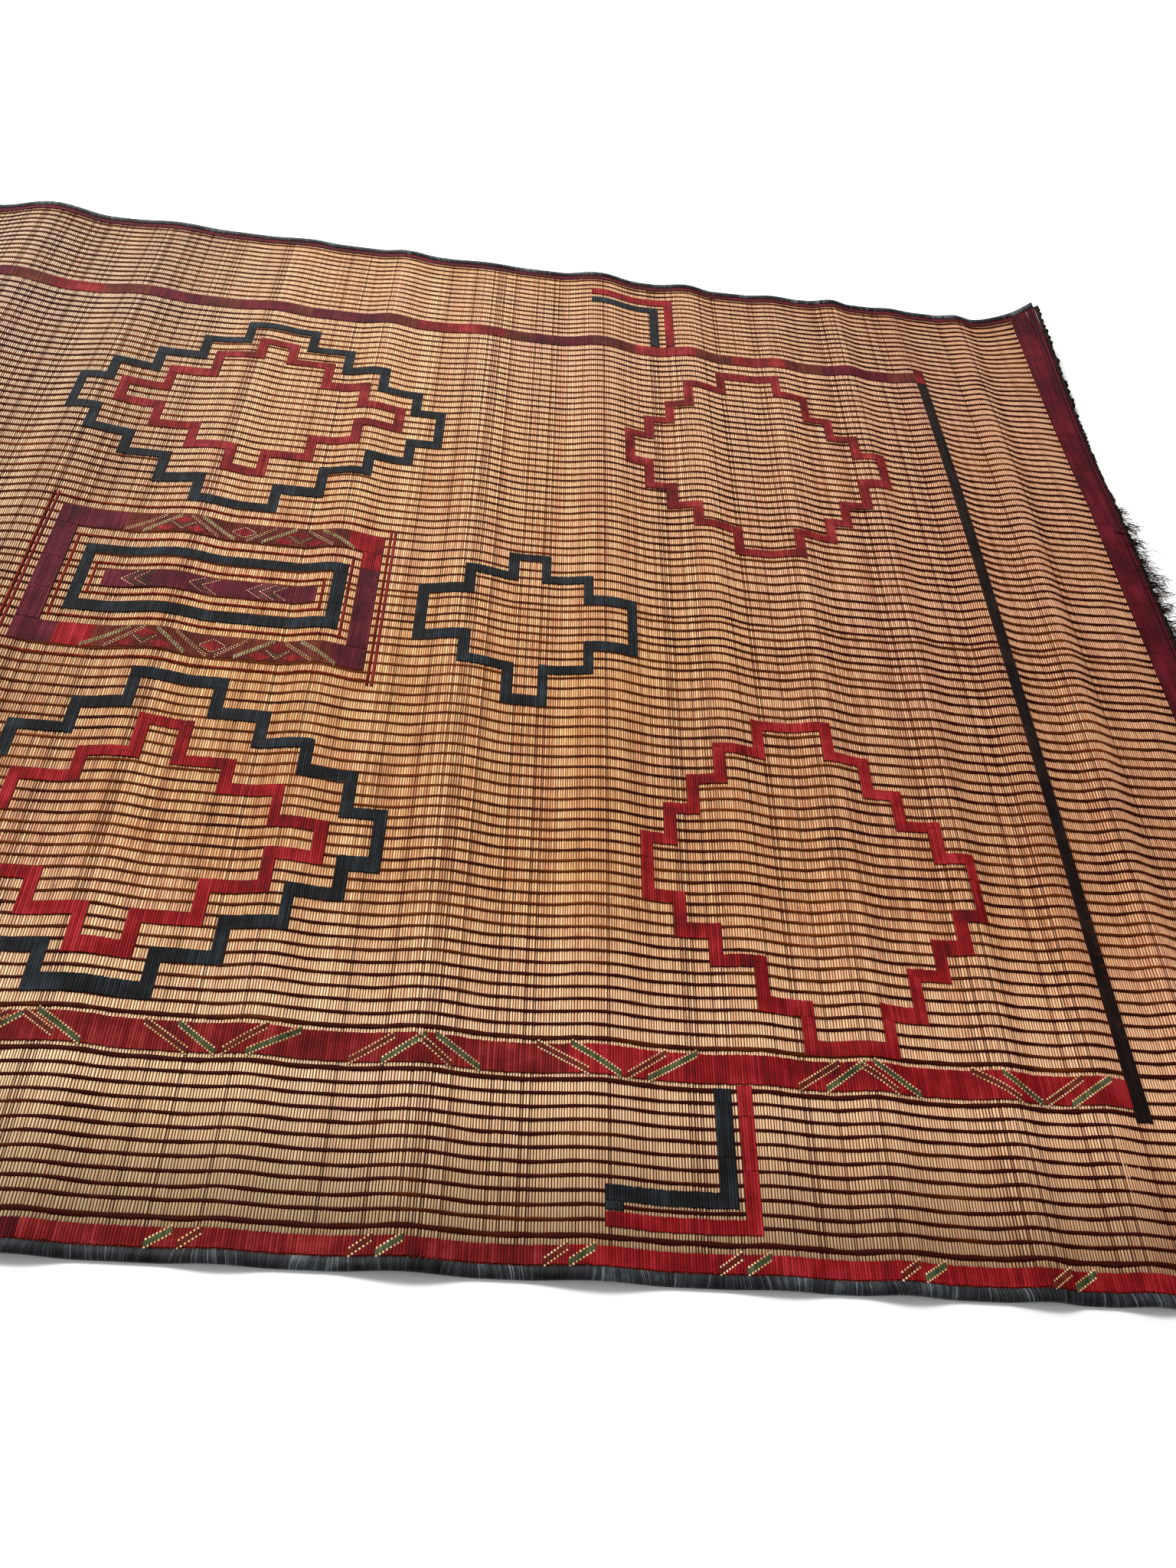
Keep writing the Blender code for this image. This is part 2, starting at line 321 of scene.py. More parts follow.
@dataclass(frozen=True)
class ReedFinish:
    """Split reed, scraped and polished by use: a waxy straw skin with fine grain along it.

    The skin is glossy on its crown, so each reed carries one pale line of light. Reeds differ in tone, and
    painted shade, with some dirt, browns the grooves between them; painted sheen makes some reeds creamier.
    """

    name: str = "split reed, scraped"
    dark: str = "#8E5430"
    body: str = "#C68D5A"
    pale: str = "#F6D1A1"
    rosy: str = "#C4866A"
    golden: str = "#D09A54"
    straw: str = "#DCC084"
    cream: str = "#E6D2B4"
    groove_shade: str = "#481A04"
    right_tint: str = "#F5E0DB"
    roughness: float = 0.36
    grain: float = 0.5 * MM
    bay_scale: float = 26.0
    cloud_scale: float = 2.3

    def material(self) -> bpy.types.Material:
        """Builds the material from the reeds' own tone attribute and Object coordinates.

        Returns:
            The material.
        """
        material, tree, place = begin(self.name)
        tone = read_tone(tree)
        # Grain: half a millimetre across the reed and some centimetres along it. Bays between two thongs
        # differ a little in tone, and whole patches of the mat in hue.
        stretched = add(tree, "Mapping", inputs={"Scale": (1.0, 0.03, 1.0), "Vector": place})
        grain, bays, clouds = (
            add(tree, "TexNoise", inputs={"Scale": scale, "Detail": detail, "Roughness": rough, "Vector": at})
            for scale, detail, rough, at in (
                (1.0 / self.grain, 2.0, 0.60, stretched),
                (self.bay_scale, 3.0, 0.65, place),
                (self.cloud_scale, 3.0, 0.55, place),
            )
        )
        bay = add(tree, "Math", SCALED_SUM, {0: bays, 1: 0.90, 2: -0.30})
        own = add(tree, "Math", SCALED_SUM, {0: tone["Red"], 1: 0.72, 2: bay})
        tones = ((0.06, self.dark), (0.42, self.body), (0.95, self.pale))
        body = add(tree, "ValToRGB", {"stops": tones}, {"Fac": own})
        hues = ((0.36, self.rosy), (0.47, self.body), (0.55, self.body), (0.68, self.golden))
        hue = add(tree, "ValToRGB", {"stops": hues}, {"Fac": clouds})
        # Here and there a reed is greener than its neighbours: its tone's later digits pick it.
        digits = add(tree, "Math", {"operation": "MULTIPLY"}, {0: tone["Red"], 1: 11.0})
        pick = add(tree, "Math", {"operation": "FRACT"}, {0: digits})
        green = add(tree, "MapRange", inputs={"Value": pick, "From Min": 0.60, "To Max": 0.45})
        streak = add(
            tree,
            "MapRange",
            inputs={"Value": grain, "From Min": 0.25, "From Max": 0.75, "To Min": 0.82, "To Max": 1.10},
        )
        # Painted shade: the flanks and grooves below the crown blend to dark brown.
        depth = add(
            tree,
            "MapRange",
            SMOOTH,
            {"Value": tone["Green"], "From Min": 0.34, "From Max": 0.98, "To Min": 1.0, "To Max": 0.0},
        )
        # The dye of the leather has run most towards the right end, so the reeds are redder there.
        right = add(tree, "SeparateXYZ", inputs={"Vector": place}, out="X")
        reach = add(tree, "MapRange", inputs={"Value": right, "From Min": 0.25, "From Max": 1.30})
        colour = body
        # Layers: hue, greener reeds, cream staining and painted sheen, grain, painted groove shade, redder
        # right end.
        for settings, share, layer in (
            (BLEND, 0.42, hue),
            (BLEND, green, linear(self.straw)),
            (BLEND, tone["Blue"], linear(self.cream)),
            (TIMES, 1.0, streak),
            (BLEND, depth, linear(self.groove_shade)),
            (TIMES, reach, linear(self.right_tint)),
        ):
            colour = add(tree, "Mix", settings, {0: share, 6: colour, 7: layer}, out=2)
        gloss = {"Value": bays, "To Min": self.roughness - 0.06, "To Max": self.roughness + 0.20}
        bump = {"Strength": 0.25, "Distance": 0.25 * MM, "Height": grain}
        shading = {"Base Color": colour, "IOR": 1.52, "Specular IOR Level": 0.30}
        shading["Roughness"] = add(tree, "MapRange", inputs=gloss)
        shading["Normal"] = add(tree, "Bump", inputs=bump)
        fill(tree.nodes["Principled BSDF"], shading)
        return material


@dataclass(frozen=True)
class LeatherFinish:
    """Vegetable-tanned goatskin, cut in narrow strips and dyed: fine grain, worn paler in patches.

    Crowns catch a soft light and painted shade darkens the grooves, so a woven place looks ribbed.
    """

    name: str
    deep: str
    body: str
    worn: str
    roughness: float = 0.48
    patch: float = 60.0 * MM
    grain: float = 0.6 * MM
    groove_shade: float = 0.42
    sheen: float = 0.05
    rib: float = 0.0

    def material(self) -> bpy.types.Material:
        """Builds the material from the piece's own tone attribute and Object coordinates.

        Returns:
            The material.
        """
        material, tree, place = begin(self.name)
        tone = read_tone(tree)
        grain, patches = (
            add(
                tree,
                "TexNoise",
                inputs={"Scale": 1.0 / size, "Detail": detail, "Roughness": rough, "Vector": place},
            )
            for size, detail, rough in ((self.grain, 3.0, 0.60), (self.patch, 4.0, 0.62))
        )
        patch = add(tree, "Math", SCALED_SUM, {0: patches, 1: 1.5, 2: -0.40})
        own = add(tree, "Math", SCALED_SUM, {0: tone["Red"], 1: 0.30, 2: patch})
        tones = ((0.15, self.deep), (0.50, self.body), (0.92, self.worn))
        colour = add(tree, "ValToRGB", {"stops": tones}, {"Fac": own})
        # Painted shade darkens the grooves, where the tone's green part is low.
        grooves = {"Value": tone["Green"], "From Min": 0.10, "From Max": 0.95, "To Min": self.groove_shade}
        layers = [add(tree, "MapRange", SMOOTH, grooves)]
        if self.rib > 0.0:
            # The strip sinks between two reeds, and painted shade darkens it there once a reed.
            ribs = {"Scale": 0.1 * math.pi / self.rib, "Distortion": 2.0, "Detail": 1.0, "Vector": place}
            wave = add(tree, "TexWave", inputs=ribs, out="Fac")
            dip_shade = {"Value": wave, "From Min": 0.15, "From Max": 0.75, "To Min": 0.62, "To Max": 1.08}
            layers.append(add(tree, "MapRange", inputs=dip_shade))
        for layer in layers:
            colour = add(tree, "Mix", TIMES, {0: 1.0, 6: colour, 7: layer}, out=2)
        gloss = {"Value": grain, "To Min": self.roughness - 0.10, "To Max": self.roughness + 0.14}
        bump = {"Strength": 0.35, "Distance": 0.2 * MM, "Height": grain}
        shading = {"Base Color": colour, "IOR": 1.5, "Specular IOR Level": self.sheen}
        shading["Roughness"] = add(tree, "MapRange", inputs=gloss)
        shading["Normal"] = add(tree, "Bump", inputs=bump)
        fill(tree.nodes["Principled BSDF"], shading)
        return material


class Dye(Enum):
    """The leathers of the mat, each with its finish."""

    THONG = LeatherFinish(
        "maroon goatskin thong", "#300B05", "#532407", "#6C340F", 0.66, 150.0 * MM,
        groove_shade=0.62, sheen=0.03, rib=3.27 * MM,
    )
    RUST = LeatherFinish(
        "red-brown goatskin thong", "#3E0803", "#5F1405", "#7C2614", 0.66, 40.0 * MM, groove_shade=0.5, sheen=0.03
    )
    RED = LeatherFinish("red-dyed goatskin inlay", "#4A0409", "#780A0E", "#9E262E", 0.55, groove_shade=0.24)
    MADDER = LeatherFinish(
        "madder-dyed goatskin inlay", "#460609", "#691010", "#922E2E", 0.55, 45.0 * MM, groove_shade=0.24
    )
    WINE = LeatherFinish(
        "wine-dyed goatskin band", "#2A0308", "#47040F", "#681224", 0.55, 110.0 * MM, groove_shade=0.26
    )
    BLACK = LeatherFinish("black-dyed goatskin inlay", "#0A0807", "#121416", "#262D33", 0.55, 50.0 * MM)
    TAR = LeatherFinish("brown-black goatskin bar", "#0A0403", "#150B09", "#281A15", 0.55, 50.0 * MM)
    PLUM = LeatherFinish("plum-dyed goatskin inlay", "#2C0910", "#480E18", "#64202E", 0.55)
    BROWN = LeatherFinish("brown goatskin inlay", "#340D09", "#4E1810", "#66301F", 0.55, 50.0 * MM)
    GREEN = LeatherFinish("green-dyed leather stitch", "#232818", "#3A4028", "#585E3E", 0.60, 30.0 * MM)
    CREAM = LeatherFinish("undyed leather stitch", "#94714A", "#C8A67C", "#E6D2AE", 0.65, 30.0 * MM, groove_shade=0.7)
    BINDING = LeatherFinish(
        "black goatskin binding, creased", "#0B0D0F", "#282B2E", "#6A7276", 0.50, groove_shade=0.22, sheen=0.08
    )
    FRINGE = LeatherFinish("dark goatskin fringe", "#080302", "#190C07", "#3C2218", 0.62, 20.0 * MM)


# Copies of one small bar


def bar(sides: int, places: list[float], lengthways: bool, tip: float = 1.0) -> bmesh.types.BMesh:
    """Makes a closed bar from 0 to 1 along one axis, with a ring of corners at each place.

    Args:
        sides: Corners of its section.
        places: Places of the rings between its two ends, from 0 to 1.
        lengthways: Whether it runs along X, and otherwise along Y.
        tip: Width of its far end, as a share of its near end.

    Returns:
        The bar, with its section from -1 to 1 in both directions.
    """
    bm = bmesh.new()
    bmesh.ops.create_cone(
        bm, cap_ends=True, cap_tris=False, segments=sides, radius1=1.0, radius2=tip, depth=1.0
    )
    # A square bar lies on its flat side and a bar with five corners stands on one of them.
    turn = math.radians({4: 45.0, 5: 90.0}.get(sides, 0.0))
    bmesh.ops.rotate(bm, verts=bm.verts, cent=(0, 0, 0), matrix=Matrix.Rotation(turn, 3, "Z"))
    bmesh.ops.translate(bm, verts=bm.verts, vec=(0.0, 0.0, 0.5))
    for place in places:
        geometry = bm.verts[:] + bm.edges[:] + bm.faces[:]
        bmesh.ops.bisect_plane(bm, geom=geometry, plane_co=(0.0, 0.0, place), plane_no=(0.0, 0.0, 1.0))
    # Z becomes the bar's own axis; both turns keep the faces outward.
    axes = ((0, 0, 1), (1, 0, 0), (0, 1, 0)) if lengthways else ((0, 1, 0), (0, 0, 1), (1, 0, 0))
    bmesh.ops.transform(bm, matrix=Matrix(axes).to_4x4(), verts=bm.verts)
    return bm


def cut(bm: bmesh.types.BMesh, axis: int, cuts: int) -> None:
    """Cuts a bar or block evenly across its edges along one axis.

    Args:
        bm: The bar or block, 1 long along that axis.
        axis: The axis.
        cuts: How many cuts.
    """
    edges = [edge for edge in bm.edges if abs(edge.verts[0].co[axis] - edge.verts[1].co[axis]) > 0.5]
    bmesh.ops.subdivide_edges(bm, edges=edges, cuts=cuts, use_grid_fill=True)


class Piece:
    """A mesh piece made of many copies of one bar, which are fitted one by one and then laid.

    Attributes:
        name: The piece's name.
        rng: Where its random values come from.
        obj: Its object.
        points: The bar's corners, as an array of copies by corners by 3.
    """

    def __init__(self, name: str, template: bmesh.types.BMesh, count: int, rng: np.random.Generator) -> None:
        """Makes the copies with an Array modifier and applies it.

        Args:
            name: The piece's name.
            template: The bar, which is used up.
            count: How many copies.
            rng: Where its random values come from.
        """
        self.name = name
        self.rng = rng
        mesh = bpy.data.meshes.new(name)
        template.to_mesh(mesh)
        template.free()
        self.obj = bpy.data.objects.new(name, mesh)
        bpy.context.scene.collection.objects.link(self.obj)
        corners = len(mesh.vertices)
        if count > 1:
            row = self.obj.modifiers.new("row", "ARRAY")
            row.count = count
            row.use_relative_offset = False
            graph = bpy.context.evaluated_depsgraph_get()
            whole = bpy.data.meshes.new_from_object(self.obj.evaluated_get(graph))
            self.obj.modifiers.clear()
            self.obj.data = whole
            whole.name = name
            bpy.data.meshes.remove(mesh)
        flat = np.empty(count * corners * 3)
        self.obj.data.vertices.foreach_get("co", flat)
        self.points = flat.reshape(count, corners, 3)

    def axes(self) -> tuple[np.ndarray, np.ndarray, np.ndarray]:
        """The three coordinates of all corners, each as an array of copies by corners."""
        return self.points[..., 0], self.points[..., 1], self.points[..., 2]

    def each(self, low: float = 0.0, high: float = 1.0) -> np.ndarray:
        """One random value for each copy."""
        return self.rng.uniform(low, high, (len(self.points), 1))

    def scatter(self, spread: float) -> np.ndarray:
        """A random value for each corner, up to a spread to either side of 0."""
        return self.rng.uniform(-spread, spread, self.points.shape[:2])

    def finish(
        self,
        laid: np.ndarray,
        tone: tuple[np.ndarray | float, ...],
        material: bpy.types.Material,
        flip: bool = False,
    ) -> bpy.types.Object:
        """Sets the corners' places and tones, and gives the piece its finish and its place in the frame.

        Args:
            laid: Places of all corners.
            tone: The attribute that the finish reads at each corner: its tone from 0 to 1, then 1 on crowns
                and 0 in grooves where the finish paints shade, then its share of staining and painted sheen.
            material: The finish.
            flip: Whether the fitting turned the faces inside out.

        Returns:
            The piece's object.
        """
        mesh = self.obj.data
        mesh.vertices.foreach_set("co", np.ascontiguousarray(laid.reshape(-1)))
        colours = np.ones(self.points.shape[:2] + (4,))
        for channel, values in enumerate(tone):
            colours[..., channel] = np.broadcast_to(values, self.points.shape[:2])
        attribute = mesh.color_attributes.new("tone", "FLOAT_COLOR", "POINT")
        attribute.data.foreach_set("color", colours.reshape(-1))
        if flip:
            mesh.flip_normals()
        mesh.shade_smooth()
        mesh.update()
        mesh.materials.clear()
        mesh.materials.append(material)
        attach(self.obj, "root")
        LOG.info("%s: %d triangles", self.name, sum(len(face.vertices) - 2 for face in mesh.polygons))
        return self.obj


@dataclass(frozen=True)
class Slope:
    """A share that grows evenly from 0 at a start to 1 after a run, which may go either way."""

    start: float
    run: float

    def at(self, place: np.ndarray) -> np.ndarray:
        """The share at a place."""
        return np.clip((place - self.start) / self.run, 0.0, 1.0)


# The reeds


@dataclass
class Reeds:
    """The reeds, side by side across the mat, each one a bar of its own.

    Loose reeds stand narrower and lower and wander, so a gap shows beside them, darkened by painted shade.
    Lengths that are drawn at random are pairs of millimetres.
    """

    count: int = 905
    low: float = 0.2 * MM
    crown: float = 3.2 * MM
    crown_spread: tuple[float, float] = (-0.25, 0.15)
    crown_width: float = 0.46
    shoulder: float = 0.46
    width_spread: float = 0.14
    loose_share: float = 0.10
    loose_more: float = 0.30
    loose_drop: float = 0.35 * MM
    loose_narrow: tuple[float, float] = (0.45, 0.80)
    tight_narrow: tuple[float, float] = (0.86, 1.08)
    outer_narrow: float = 0.14
    sway: tuple[float, float] = (0.05, 0.30)
    pace: tuple[float, float] = (2.0, 7.0)
    seed: int = 5
    rings: tuple[float, ...] = (-0.80, -0.52, -0.24, 0.04, 0.30, 0.47, 0.59, 0.69, 0.78, 0.86, 0.93)
    # Where the mat's two ends, near strip and far side begin, and how soon each is at its full.
    loose_from: Slope = Slope(0.0, -0.6)
    outer_from: Slope = Slope(0.5, 0.4)
    near_strip: Slope = Slope(-0.72, -0.08)
    left_end: tuple[Slope, Slope] = (Slope(0.05, -0.45), Slope(-0.45, 0.35))
    right_end: tuple[Slope, Slope] = (Slope(0.45, 0.75), Slope(-0.65, 0.3))
    far_side: Slope = Slope(0.2, 0.6)
    edges: np.ndarray = field(init=False)
    middles: np.ndarray = field(init=False)

    def __post_init__(self) -> None:
        """Settles where each reed lies."""
        rng = np.random.default_rng(self.seed)
        widths = 1.0 + rng.uniform(-self.width_spread, self.width_spread, self.count)
        edges = np.concatenate(([0.0], np.cumsum(widths)))
        self.edges = (edges / edges[-1] * 2.0 - 1.0) * LAY.panel_half_length
        self.middles = 0.5 * (self.edges[1:] + self.edges[:-1])

    def build(self) -> bpy.types.Object:
        """Makes every reed and lays it.

        Returns:
            The piece's object.
        """
        places = [0.5 + 0.5 * ring for ring in self.rings]
        piece = Piece(
            "reeds", bar(5, places, lengthways=False), self.count, np.random.default_rng(self.seed + 1)
        )
        side, run, level = piece.axes()
        # The lowest corner lies a hair off the bar's middle, so both are rounded.
        side, level = np.round(side, 3), np.round(level, 3)
        top, bottom = level > 0.5, level < -0.5
        y = (run * 2.0 - 1.0) * LAY.panel_half_width
        middle = self.middles[:, None]
        half = 0.5 * np.diff(self.edges)[:, None]
        loose = piece.each() < self.loose_share + self.loose_more * self.loose_from.at(middle)
        sway = piece.each(*self.sway) * np.where(loose, 1.6, 0.7)
        phase = piece.each(0.0, TURN)
        drift = sway * np.sin(piece.each(*self.pace) * y + phase) * 0.5 * MM
        narrow = np.where(loose, piece.each(*self.loose_narrow), piece.each(*self.tight_narrow))
        narrow = narrow * (1.0 - self.outer_narrow * self.outer_from.at(np.abs(middle - 0.5)))
        width = np.where(top, self.crown_width * narrow, 1.0)
        s = middle + half * np.sign(side) * width + np.where(top, drift, 0.0)
        crown = self.crown + piece.each(*self.crown_spread) * MM - np.where(loose, self.loose_drop, 0.0)
        shoulder = self.low + self.shoulder * (self.crown - self.low)
        up = np.where(top, crown, np.where(bottom, self.low, shoulder))
        tone = self.tone(s, y, piece.each(), loose, top, bottom)
        return piece.finish(LAY.place(s, y, up), tone, ReedFinish().material())

    def tone(
        self,
        s: np.ndarray,
        y: np.ndarray,
        own: np.ndarray,
        loose: np.ndarray,
        top: np.ndarray,
        bottom: np.ndarray,
    ) -> tuple[np.ndarray, ...]:
        """Tone, crown share for painted groove shade, and staining with painted sheen, of each corner.

        Args:
            s: Its place along the mat.
            y: Its place across the mat.
            own: Its reed's own tone.
            loose: Whether its reed lies loose.
            top: Whether it is on the crown.
            bottom: Whether it is on the floor side.

        Returns:
            The three values.
        """
        near, far = self.near_strip.at(y), self.far_side.at(y)
        left = self.left_end[0].at(s) * self.left_end[1].at(y)
        right = self.right_end[0].at(s) * self.right_end[1].at(y)
        # The middle is duller than the near strip, whose reeds are painted paler for their glints. More reeds
        # lie loose at the left; painted shade darkens the shoulders into the gaps, most at the left, the near
        # edge and the right end, wholly beside a loose reed, and a little on a loose reed's sunken crown.
        dull = 0.24 * np.exp(-(((y + 0.35) / 0.32) ** 2)) * np.clip(1.2 + s, 0.4, 1.0)
        shade = own - dull + 0.46 * near - 0.60 * left - 0.04 * right
        closed = np.where(loose, 0.0, 0.56 * np.clip(1.0 - left - 0.55 * near - 0.90 * right, 0.0, 1.0))
        crown = np.where(top, np.where(loose, 0.80, 1.0), np.where(bottom, 0.4, closed))
        # Reeds are stained pale between the right rings and the cross; the creamier reeds towards the left, the
        # far side, the right end and the near strip are painted sheen.
        stain_and_sheen = 0.55 * np.exp(-(((s - 0.860) / 0.035) ** 2) - ((y - 0.10) / 0.045) ** 2)
        stain_and_sheen = stain_and_sheen + 0.35 * left + 0.15 * far + 0.14 * right + 0.30 * near
        return shade, crown, stain_and_sheen


# The chart of the pattern
# The chart's unit is the mat's width: x counts from the right bar's middle and y from the near edge.

CHART = 2.0
CHART_MIDDLE_X = -0.603
Tiers = tuple[tuple[float, float, float], ...]


def along(x: float) -> float:
    """Place along the mat of a chart x."""
    return (x - CHART_MIDDLE_X) * CHART


def over(y: float) -> float:
    """Place across the mat of a chart y."""
    return (y - 0.5) * CHART


def chart_x(s: float) -> float:
    """Chart x of a place along the mat."""
    return s / CHART + CHART_MIDDLE_X


@dataclass(frozen=True)
class Row:
    """One row of thong along the mat, at a chart y, with its width and its two ends."""

    y: float
    width: float = 4.6 * MM
    start: float = -1.4462
    end: float = 1.4462


def thong_rows() -> tuple[Row, ...]:
    """The rows of thong; broad ones run beside the near bands.

    Returns:
        The rows, from the near edge to the far one.
    """
    near = (0.0309, 0.0383, 0.0462, 0.0540, 0.0618, 0.0696, 0.0774, 0.0852, 0.0930, 0.1006)
    low = [0.1432 + 0.0083 * n for n in range(20)]
    waist = [0.3101 + 0.0092 * n for n in range(11)]
    middle = (
        0.4115, 0.4215, 0.4315, 0.4410, 0.4490, 0.4585, 0.4665, 0.4745, 0.4835,
        0.4925, 0.4990, 0.5085, 0.5180, 0.5275, 0.5370, 0.5475, 0.5580,
    )
    high = [0.5580 + 0.00872 * n for n in range(1, 35)]
    side = [0.8860 + 0.00815 * n for n in range(13)]
    double = [Row(y, 6.6 * MM) for y in (0.0222, 0.1086, 0.1346)]
    thin = [Row(y) for y in (*near, *low, *waist, *middle, *high, *side)]
    # Beyond the two bars the border bands stop and plain rows take their place.
    beyond = along(0.0030)
    ends = ((Row.start, -beyond), (beyond, Row.end))
    places = (0.1172, 0.1258, 0.8632, 0.8708, 0.8784)
    short = [Row(y, start=start, end=end) for y in places for start, end in ends]
    return tuple(sorted((*double, *thin, *short), key=lambda row: row.y))


ROWS = thong_rows()


def settle(y: float, upper: bool) -> float:
    """Moves an edge of inlay onto the thong beside it, which it covers.

    Args:
        y: Chart y of the edge.
        upper: Whether it is the inlay's far edge.

    Returns:
        The settled chart y.
    """
    reach, beyond = 0.0022, 0.0008
    nearest = min(ROWS, key=lambda row: abs(row.y - y)).y
    if abs(nearest - y) > reach:
        return y
    return nearest + (beyond if upper else -beyond)


@dataclass(frozen=True)
class Run:
    """Leather worked over one reed, from one place across the mat to another."""

    reed: int
    start: float
    end: float


@dataclass(frozen=True)
class Block:
    """A plain rectangle of inlay, in chart units."""

    dye: Dye
    left: float
    right: float
    low: float
    high: float

    def runs(self, reeds: Reeds) -> list[Run]:
        """The runs over the reeds whose middles lie in the block, and over one reed where it is that narrow.

        Args:
            reeds: The reeds.

        Returns:
            The runs.
        """
        start, end = over(self.low), over(self.high)
        inside = np.flatnonzero((reeds.middles >= along(self.left)) & (reeds.middles <= along(self.right)))
        if self.right - self.left < 0.0020:
            middle = 0.5 * (along(self.left) + along(self.right))
            inside = np.array([np.argmin(np.abs(reeds.middles - middle))])
        return [Run(int(reed), start, end) for reed in inside]

    def mirrored(self, further: float = 0.0) -> "Block":
        """Its mirror image about the mat's middle, moved a little further out if asked."""
        twice = 2.0 * CHART_MIDDLE_X
        return Block(self.dye, twice - self.right - further, twice - self.left - further, self.low, self.high)


@dataclass(frozen=True)
class Medallion:
    """A stepped ring of inlay: nested tiers above and below, each (left, right, outer edge) in chart units."""

    dye: Dye
    upper: Tiers
    lower: Tiers
    across: float = 0.0092
    aside: float = 0.0080

    def edge(self, x: float, above: bool) -> float | None:
        """Outer edge of the ring at x, or None beside it.

        Args:
            x: Chart x.
            above: Whether the far side is asked for.

        Returns:
            Chart y of the edge.
        """
        edges = [edge for left, right, edge in (self.upper if above else self.lower) if left <= x <= right]
        if not edges:
            return None
        return max(edges) if above else min(edges)

    def runs(self, reeds: Reeds) -> list[Run]:
        """The runs over the reeds that cross the ring.

        Args:
            reeds: The reeds.

        Returns:
            The runs, two to a reed where it has a hollow.
        """
        found = []
        for reed, middle in enumerate(reeds.middles):
            x = chart_x(middle)
            high, low = self.edge(x, True), self.edge(x, False)
            if high is None or low is None:
                continue
            beside = (x - self.aside, x + self.aside)
            tops, bottoms = ([self.edge(place, above) for place in beside] for above in (True, False))
            if None in tops or None in bottoms:
                found.append(Run(reed, over(settle(low, False)), over(settle(high, True))))
                continue
            inner_high = min(high, *tops) - self.across
            inner_low = max(low, *bottoms) + self.across
            found.append(Run(reed, over(settle(inner_high, False)), over(settle(high, True))))
            found.append(Run(reed, over(settle(low, False)), over(settle(inner_low, True))))
        return found

    def mirrored(self) -> "Medallion":
        """Its mirror image about the mat's middle."""
        twice = 2.0 * CHART_MIDDLE_X
        upper, lower = (
            tuple((twice - right, twice - left, edge) for left, right, edge in tiers)
            for tiers in (self.upper, self.lower)
        )
        return Medallion(self.dye, upper, lower)


class Stitch(Enum):
    """How a slanting line is worked: its middle dash, its pale dots and their places beside it, all in mm."""

    GREEN = (6.0, 1.9, (-4.2, 4.2))
    DOTTED = (5.0, 1.9, (-4.2, 4.2))
    KHAKI = (4.4, 1.2, (-2.9, 0.0, 2.9))
    CREAM = (0.0, 1.3, (-2.2, 2.2))
    FINE = (0.0, 1.3, (0.0,))
    FINE_GREEN = (1.8, 0.0, ())


@dataclass(frozen=True)
class Limb:
    """A slanting line of small stitches over the leather of a band, from one chart point to another."""

    stitch: Stitch
    start: tuple[float, float]
    end: tuple[float, float]

    def stitches(self, reeds: Reeds) -> list[tuple[Dye, Run]]:
        """The stitches over each reed: a middle dash, pale dots beside it, or one of them alone.

        Args:
            reeds: The reeds.

        Returns:
            Each stitch with its leather.
        """
        dash, dot, places = self.stitch.value
        body = Dye.BROWN if self.stitch is Stitch.DOTTED else Dye.GREEN
        (x0, y0), (x1, y1) = sorted((self.start, self.end))
        found = []
        for reed, middle in enumerate(reeds.middles):
            x = chart_x(middle)
            if not x0 <= x <= x1:
                continue
            centre = over(y0 + (y1 - y0) * (x - x0) / (x1 - x0))
            if dash > 0.0:
                found.append((body, Run(reed, centre - 0.5 * dash * MM, centre + 0.5 * dash * MM)))
            for place in places:
                low, high = (place - 0.5 * dot) * MM, (place + 0.5 * dot) * MM
                found.append((Dye.CREAM, Run(reed, centre + low, centre + high)))
        return found

    def mirrored(self) -> "Limb":
        """Its mirror image about the mat's middle."""
        (x0, y0), (x1, y1) = self.start, self.end
        return Limb(self.stitch, (2.0 * CHART_MIDDLE_X - x1, y1), (2.0 * CHART_MIDDLE_X - x0, y0))


@dataclass(frozen=True)
class Diamond:
    """A small red diamond worked over a band, at a chart point, with its half width and half height."""

    x: float
    y: float
    half_x: float
    half_y: float

    def stitches(self, reeds: Reeds) -> list[tuple[Dye, Run]]:
        """The run over each reed that crosses the diamond.

        Args:
            reeds: The reeds.

        Returns:
            Each run with its leather.
        """
        found = []
        for reed, middle in enumerate(reeds.middles):
            aside = abs(chart_x(middle) - self.x) / self.half_x
            if aside < 0.9:
                half = (1.0 - aside) * self.half_y
                found.append((Dye.MADDER, Run(reed, over(self.y - half), over(self.y + half))))
        return found


def nested(middle: float, halves: tuple[float, ...], edges: tuple[float, ...]) -> Tiers:
    """Tiers set evenly about a middle line.

    Args:
        middle: Chart x of the middle.
        halves: Half width of each tier.
        edges: Outer edge of each tier.

    Returns:
        The tiers.
    """
    return tuple((middle - half, middle + half, edge) for half, edge in zip(halves, edges))


